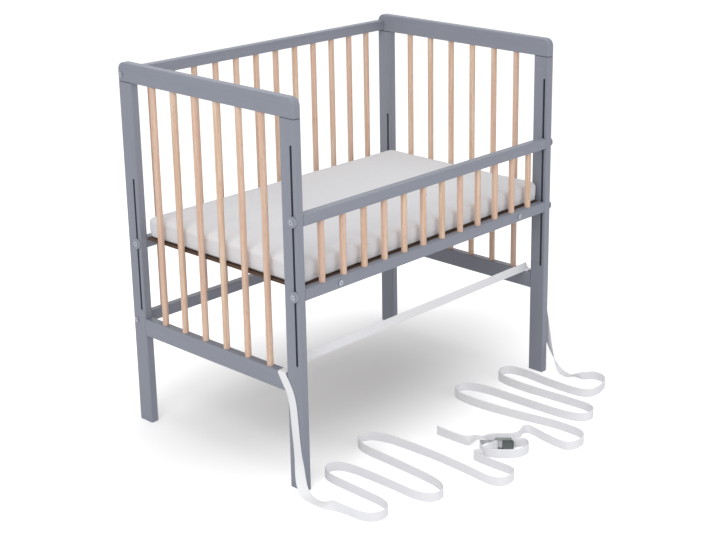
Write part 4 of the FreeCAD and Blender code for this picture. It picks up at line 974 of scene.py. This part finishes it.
@dataclass
class TieStrap:
    """The strap: pulled tight across the crib, hanging at both ends and loose on the floor.

    Places are in millimetres. Where the webbing turns over, each row is a place and then the
    direction of its width.
    """

    rail_top: float = 292.3
    taut_y: float = -247.0
    taut_half: float = 425.0
    # The height of the middle line over the rail, and over the floor on edge and flat.
    taut_rise: float = 12.5
    on_edge_z: float = 12.55
    flat_z: float = 0.8
    # Over each rail: how far along, how high over the rail, and how upright the width is.
    left_twist: tuple[Triple, ...] = (
        (433, 11.4, 0.883), (441, 7.95, 0.588), (449, 3.3, 0.208), (455.5, 0.75, 0),
        (474.9, 0.75, 0), (477.6, 0.3, 0), (478.75, -2.15, 0))
    right_twist: tuple[Triple, ...] = (
        (444, 12.5, 1.0), (456, 12.5, 1.0), (462, 11.4, 0.883), (467, 7.95, 0.588),
        (471.5, 3.3, 0.208), (474.5, 0.85, 0), (477.6, 0.4, 0), (478.75, -2.15, 0))
    left_hang: tuple[Triple, ...] = (
        (-478.6, -251, 283), (-478.6, -262, 267), (-478.6, -275, 246), (-478.6, -282, 221),
        (-478.6, -285, 192), (-478.6, -288, 155), (-478.9, -295, 91))
    right_hang: tuple[Triple, ...] = (
        (478.75, -247.5, 283), (479.55, -253, 267), (481.55, -266, 244), (484.05, -281, 215),
        (486.55, -292, 180), (488.55, -303, 118))
    left_landing: tuple[Turn, ...] = (
        ((-483, -303, 62), (-0.36, 0.9, -0.15)), ((-487.5, -310, 38), (-0.61, 0.69, -0.15)),
        ((-491, -320, 17), (-0.87, 0.38, -0.12)), ((-493.5, -334, 5.5), (-0.98, 0.16, -0.08)),
        ((-495, -352, flat_z), (-1, 0, 0)), ((-496, -382, flat_z), (-1, 0, 0)),
        ((-495.5, -402, 6.0), (-0.906, 0, -0.423)), ((-494, -421, 11.05), (-0.53, 0, -0.848)))
    right_landing: tuple[Turn, ...] = (
        ((491, -313, 70), (0.36, 0.9, -0.15)), ((493, -325, 42), (0.61, 0.69, -0.15)),
        ((493, -337, 18), (0.87, 0.38, -0.12)), ((491, -352, 5.5), (0.98, 0.1, -0.08)),
        ((488, -369, flat_z), (1, 0, 0)), ((484, -390, flat_z), (1, 0, 0)),
        ((482.5, -405, 6.6), (0.883, 0, -0.469)), ((484, -420, 11.2), (0.5, 0.1, -0.866)))
    left_floor: tuple[Pair, ...] = (
        (-492, -440), (-486, -541), (-410, -543), (-407, -415), (-404, -285), (-337, -283),
        (-330, -430), (-336, -580), (-256, -582), (-243, -410), (-240, -232), (-160, -230),
        (-149, -400), (-154, -540), (-167, -655), (-87, -657), (-90, -580), (-89, -505),
        (-70, -508.8))
    right_floor: tuple[Pair, ...] = (
        (490, -434), (518, -455), (506, -502), (448, -522), (391, -516), (387, -400),
        (404, -240), (330, -238), (316, -330), (326, -470), (333, -597), (254, -599),
        (244, -440), (240, -222), (160, -218), (152, -330), (172, -470), (191, -560),
        (189, -668), (103, -672), (106, -600), (128, -507), (84, -523))
    # The loop's own frame: along the buckle, then away from the front, then up.
    loop_centre: Pair = (1.0, -538.0)
    loop_turn: float = -50.56
    loop: tuple[Pair, ...] = (
        (41, 66), (24, 45), (-36, 47), (-62, 22), (-61, -22), (-31, -45), (32, -46), (62, -18),
        (61, 13), (46, 23), (31, 13.65), (-25, 13.65))
    under_loop: tuple[Turn, ...] = (
        ((-62.5, -32.4, 9.85), (0, 0.669, -0.743)), ((-58.4, -29.1, 3.4), (0, 0.978, -0.208)),
        ((-55.6, -26.8, flat_z), (0, 1, 0)), ((-50.6, -22.4, flat_z), (0, 1, 0)),
        ((-45.6, -18.2, 4.5), (0, 0.961, 0.276)), ((-40.0, -13.4, 11.5), (0, 0.616, 0.788)))
    tail: tuple[Turn, ...] = (
        ((-33, 13.8, 19.5), (0, 0.6, -0.8)), ((-43, 14, 26), (0, 0.92, -0.4)),
        ((-54, 14, 28.85), (0, 1, 0)), ((-68, 15.5, 28.85), (0, 1, 0)),
        ((-77, 19, 24), (0.1, 0.92, 0.4)), ((-86, 23.5, 17.5), (0.2, 0.6, 0.8)),
        ((-98, 31, on_edge_z), (0, 0, 1)), ((-134, 56, on_edge_z), (0, 0, 1)),
        ((-172, 90, on_edge_z), (0, 0, 1)))
    # The eye round the buckle's bar: the bar in the loop's frame, the eye's turn there, and
    # its points ahead of the bar and beside it.
    buckle_z: float = 15.0
    eye_bar: Pair = (-19.4, 8.2)
    eye_turn: float = 47.0
    eye: tuple[Pair, ...] = ((-11, 0.2), (-6, 0.9), (-2.4, 2.8), (3.0, 3.2), (3.0, -3.2),
                             (-2.4, -2.8), (-6, -0.9), (-11.5, -0.9))

    def turned(self, direction: Triple) -> Vector:
        """Turns a direction in the loop's own frame to one in the crib's."""
        return Matrix.Rotation(math.radians(self.loop_turn), 3, "Z") @ Vector(direction)

    def in_loop(self, place: Triple) -> Vector:
        """Turns a place in the loop's own frame to one in the crib's."""
        return Vector((*self.loop_centre, 0)) + self.turned(place)

    def down(self, side: Side) -> StrapRoute:
        """Lays the route from the taut stretch over a rail, down and along the floor.

        Args:
            side: The end of the crib.

        Returns:
            The route as far as the loop.
        """
        if side is Side.LEFT:
            ways = self.left_twist, self.left_hang, self.left_landing, self.left_floor
        else:
            ways = self.right_twist, self.right_hang, self.right_landing, self.right_floor
        twist, hang, landing, floor = ways
        route = StrapRoute()
        for x, height, up in ((self.taut_half, self.taut_rise, 1.0), *twist):
            route.add((side.value * x, self.taut_y, self.rail_top + height),
                      (0, math.sqrt(1 - up * up), up))
        for place in hang:
            route.add(place, (0, 1, 0))
        for place, width in landing:
            route.add(place, width)
        for x, y in floor:
            route.add((x, y, self.on_edge_z), (0, 0, Lie.FIRST_EDGE_DOWN.value))
        return route

    def left(self) -> StrapRoute:
        """Lays the route from the left rail down to the eye on the buckle's bar.

        Returns:
            The route.
        """
        route = self.down(Side.LEFT)
        for place, width in self.under_loop:
            route.add(self.in_loop(place), self.turned(width))
        ahead = Matrix.Rotation(math.radians(self.eye_turn), 2) @ Vector((1, 0))
        left = Vector((-ahead.y, ahead.x))
        for forward, aside in self.eye:
            place = Vector(self.eye_bar) + ahead * forward + left * aside
            route.add(self.in_loop((*place, self.buckle_z)), (0, 0, Lie.FIRST_EDGE_UP.value))
        return route

    def right(self) -> StrapRoute:
        """Lays the route from the right rail, round the buckle and through it to the tail.

        Returns:
            The route.
        """
        route = self.down(Side.RIGHT)
        for along, away in self.loop:
            route.add(self.in_loop((along, away, self.buckle_z)),
                      (0, 0, Lie.FIRST_EDGE_DOWN.value))
        for place, width in self.tail:
            route.add(self.in_loop(place), self.turned(width))
        return route

    def across(self) -> StrapRoute:
        """Lays the route of the taut stretch, from the left end to the right one.

        Returns:
            The route.
        """
        route = StrapRoute()
        for share in (-1.0, -0.5, 0.0, 0.5, 1.0):
            route.add((share * self.taut_half, self.taut_y, self.rail_top + self.taut_rise),
                      (0, 0, 1))
        return route

    def build(self) -> list[Piece]:
        """Sweeps the three stretches, each in place of the solids that it replaces.

        Returns:
            The stretches.
        """
        stretches = (
            (self.across(), Stretch("strap_taut", ("strap_cross",), Side.LEFT, 0.85,
                                    FarEnd.OBJECT, Lay.TAUT)),
            (self.left(), Stretch("strap_left_end", ("strap_left_hang", "strap_left_floor",
                                                     "strap_sewn_end"), Side.LEFT, 2.3,
                                  FarEnd.FITTING, Lay.LOOSE,
                                  ("buckle_frame", "buckle_pin", "buckle_lever"))),
            (self.right(), Stretch("strap_right_end", ("strap_right_hang", "strap_right_floor",
                                                       "strap_loop", "strap_tail"), Side.RIGHT,
                                   3.0, FarEnd.BARE, Lay.LOOSE)))
        webbing = Webbing()
        finish = PolyesterWebbing(width_mm=webbing.width_mm).material()
        pieces = []
        for route, stretch in stretches:
            piece, line = webbing.sweep(stretch.name, route)
            select_only(dress(piece, finish))
            bpy.ops.object.shade_smooth_by_angle(angle=math.radians(webbing.smooth_below))
            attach(piece, "frame")
            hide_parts(*stretch.nodes)
            pieces.append(piece)
        return pieces


# ---- studio

@dataclass(frozen=True)
class SoftLamp:
    """A square soft lamp: its name, its place and side in metres, and its power in watts."""

    name: str
    place: Triple
    side: float
    power: float
    target: Triple = (0, -0.1, 0.4)

    def hang(self) -> None:
        """Hangs the lamp so that it points at the crib."""
        data = bpy.data.lights.new(self.name, "AREA")
        data.size = self.side
        data.energy = self.power
        lamp = bpy.data.objects.new(self.name, data)
        lamp.location = self.place
        towards = Vector(self.target) - Vector(self.place)
        lamp.rotation_mode = "QUATERNION"
        lamp.rotation_quaternion = towards.to_track_quat("-Z", "Y")
        bpy.context.scene.collection.objects.link(lamp)


def seen_or_mirrored(tree: Tree) -> Source:
    """Tells the rays that show a background from those that only light by it.

    Args:
        tree: The node tree of the background.

    Returns:
        1 for the rays of the camera, of gloss and of glass, and 0 for all others.
    """
    path = add_node(tree, "LightPath").outputs
    seen = path["Is Camera Ray"]
    for kind in ("Is Glossy Ray", "Is Transmission Ray"):
        seen = add_node(tree, "Math", links={0: seen, 1: path[kind]}, operation="MAXIMUM")
    return seen


@dataclass
class Studio:
    """A white studio: pale floor, soft lamps and the photograph's camera."""

    # The camera's place in metres, its angles in degrees and its lens in millimetres.
    place: Triple = (-2.59582, -2.58224, 1.66601)
    heading: float = 49.4
    pitch: float = -16.9
    roll: float = 0.1
    lens: float = 72.49
    shift: Pair = (-0.1285, -0.0978)
    lamps: tuple[SoftLamp, ...] = (SoftLamp("key", (-2.7, -1.35, 2.3), 2.0, 42),
                                   SoftLamp("overhead", (0.0, 0.3, 3.2), 2.8, 24),
                                   SoftLamp("fill", (0.4, -2.4, 0.8), 1.4, 8))
    sky: float = 0.55
    floor_size: float = 30.0
    paper: str = "#E6E6E8"

    def camera(self) -> None:
        """Sets the camera at the photograph's place and angle."""
        data = bpy.data.cameras.new("camera")
        data.lens = self.lens
        data.sensor_width = 36.0
        data.shift_x, data.shift_y = self.shift
        data.clip_end = 60
        view = bpy.data.objects.new("camera", data)
        bpy.context.scene.collection.objects.link(view)
        head, pitch, roll = (math.radians(angle) for angle in (self.heading, self.pitch,
                                                               self.roll))
        ahead = Vector((math.sin(head) * math.cos(pitch), math.cos(head) * math.cos(pitch),
                        math.sin(pitch)))
        right = Vector((math.cos(head), -math.sin(head), 0))
        up = right.cross(ahead)
        right, up = (right * math.cos(roll) + up * math.sin(roll),
                     up * math.cos(roll) - right * math.sin(roll))
        turn = Matrix((right, up, -ahead)).transposed()
        view.matrix_world = Matrix.Translation(self.place) @ turn.to_4x4()
        bpy.context.scene.camera = view

    def floor(self) -> None:
        """Lays the pale floor, with a painted glow that whitens it away from the crib and deepens
        the shadow near it.
        """
        clear_selection()
        bpy.ops.mesh.primitive_plane_add(size=self.floor_size, location=(0, 0, 0))
        ground = settle(bpy.context.active_object, "floor")
        # Matt paper scatters all light and takes the crib's real soft shadow. A painted glow, seen
        # only by the camera and in gloss, is weak near the crib, which paints the shadow deeper
        # there, and strong farther out, which paints the floor white.
        made, tree = new_material("matt_white_paper_painted_glow")
        matt = add_node(tree, "BsdfDiffuse", {"Color": linear(self.paper)})
        place = add_node(tree, "TexCoord")
        # Painted shadow: the glow is weakest in this oval round the crib.
        oval = add_node(tree, "Mapping",
                        {"Location": (0.0, -0.1, 0.0), "Scale": (0.75, 1.25, 1.0)},
                        {"Vector": place.outputs["Object"]})
        reach = add_node(tree, "VectorMath", links={0: oval}, operation="LENGTH")
        painted_shadow_ramp = add_node(tree, "MapRange",
                        {"From Min": 0.1, "From Max": 0.8, "To Min": 0.14, "To Max": 0.62},
                        {"Value": reach.outputs["Value"]}, interpolation_type="SMOOTHSTEP")
        # Painted glow: the floor glows for the camera, though it is no lamp.
        painted_glow = add_node(tree, "Emission", {"Color": (1, 1, 1, 1)}, {"Strength": painted_shadow_ramp})
        with_painted_glow = add_node(tree, "AddShader", links={0: matt, 1: painted_glow})
        mixed = add_node(tree, "MixShader", links={0: seen_or_mirrored(tree), 1: matt, 2: with_painted_glow})
        add_node(tree, "OutputMaterial", links={"Surface": mixed})
        dress(ground, made)

    def world(self) -> None:
        """Sets an even white sky, seen as pure white and lighting at a plain level."""
        world = bpy.data.worlds.new("studio")
        tree = empty_tree(world)
        strength = add_node(tree, "MapRange", {"To Min": self.sky, "To Max": 1.0},
                            {"Value": seen_or_mirrored(tree)})
        sky = add_node(tree, "Background", {"Color": (1, 1, 1, 1)}, {"Strength": strength})
        add_node(tree, "OutputWorld", links={"Surface": sky})
        bpy.context.scene.world = world
        bpy.context.scene.view_settings.view_transform = "Standard"

    def build(self) -> None:
        """Builds the whole studio."""
        self.camera()
        self.floor()
        self.world()
        for lamp in self.lamps:
            lamp.hang()


def main() -> None:
    """Builds and dresses the crib, and reports each piece."""
    logging.basicConfig(level=logging.INFO, format="%(name)s: %(message)s")
    Studio().build()
    for assembly in (TieStrap(), Woodwork(), Fittings(), Mattress()):
        for piece in assembly.build():
            LOG.info("%s: %s, %d faces", piece.name, piece.active_material.name,
                     len(piece.data.polygons))


if __name__ == "__main__":
    main()
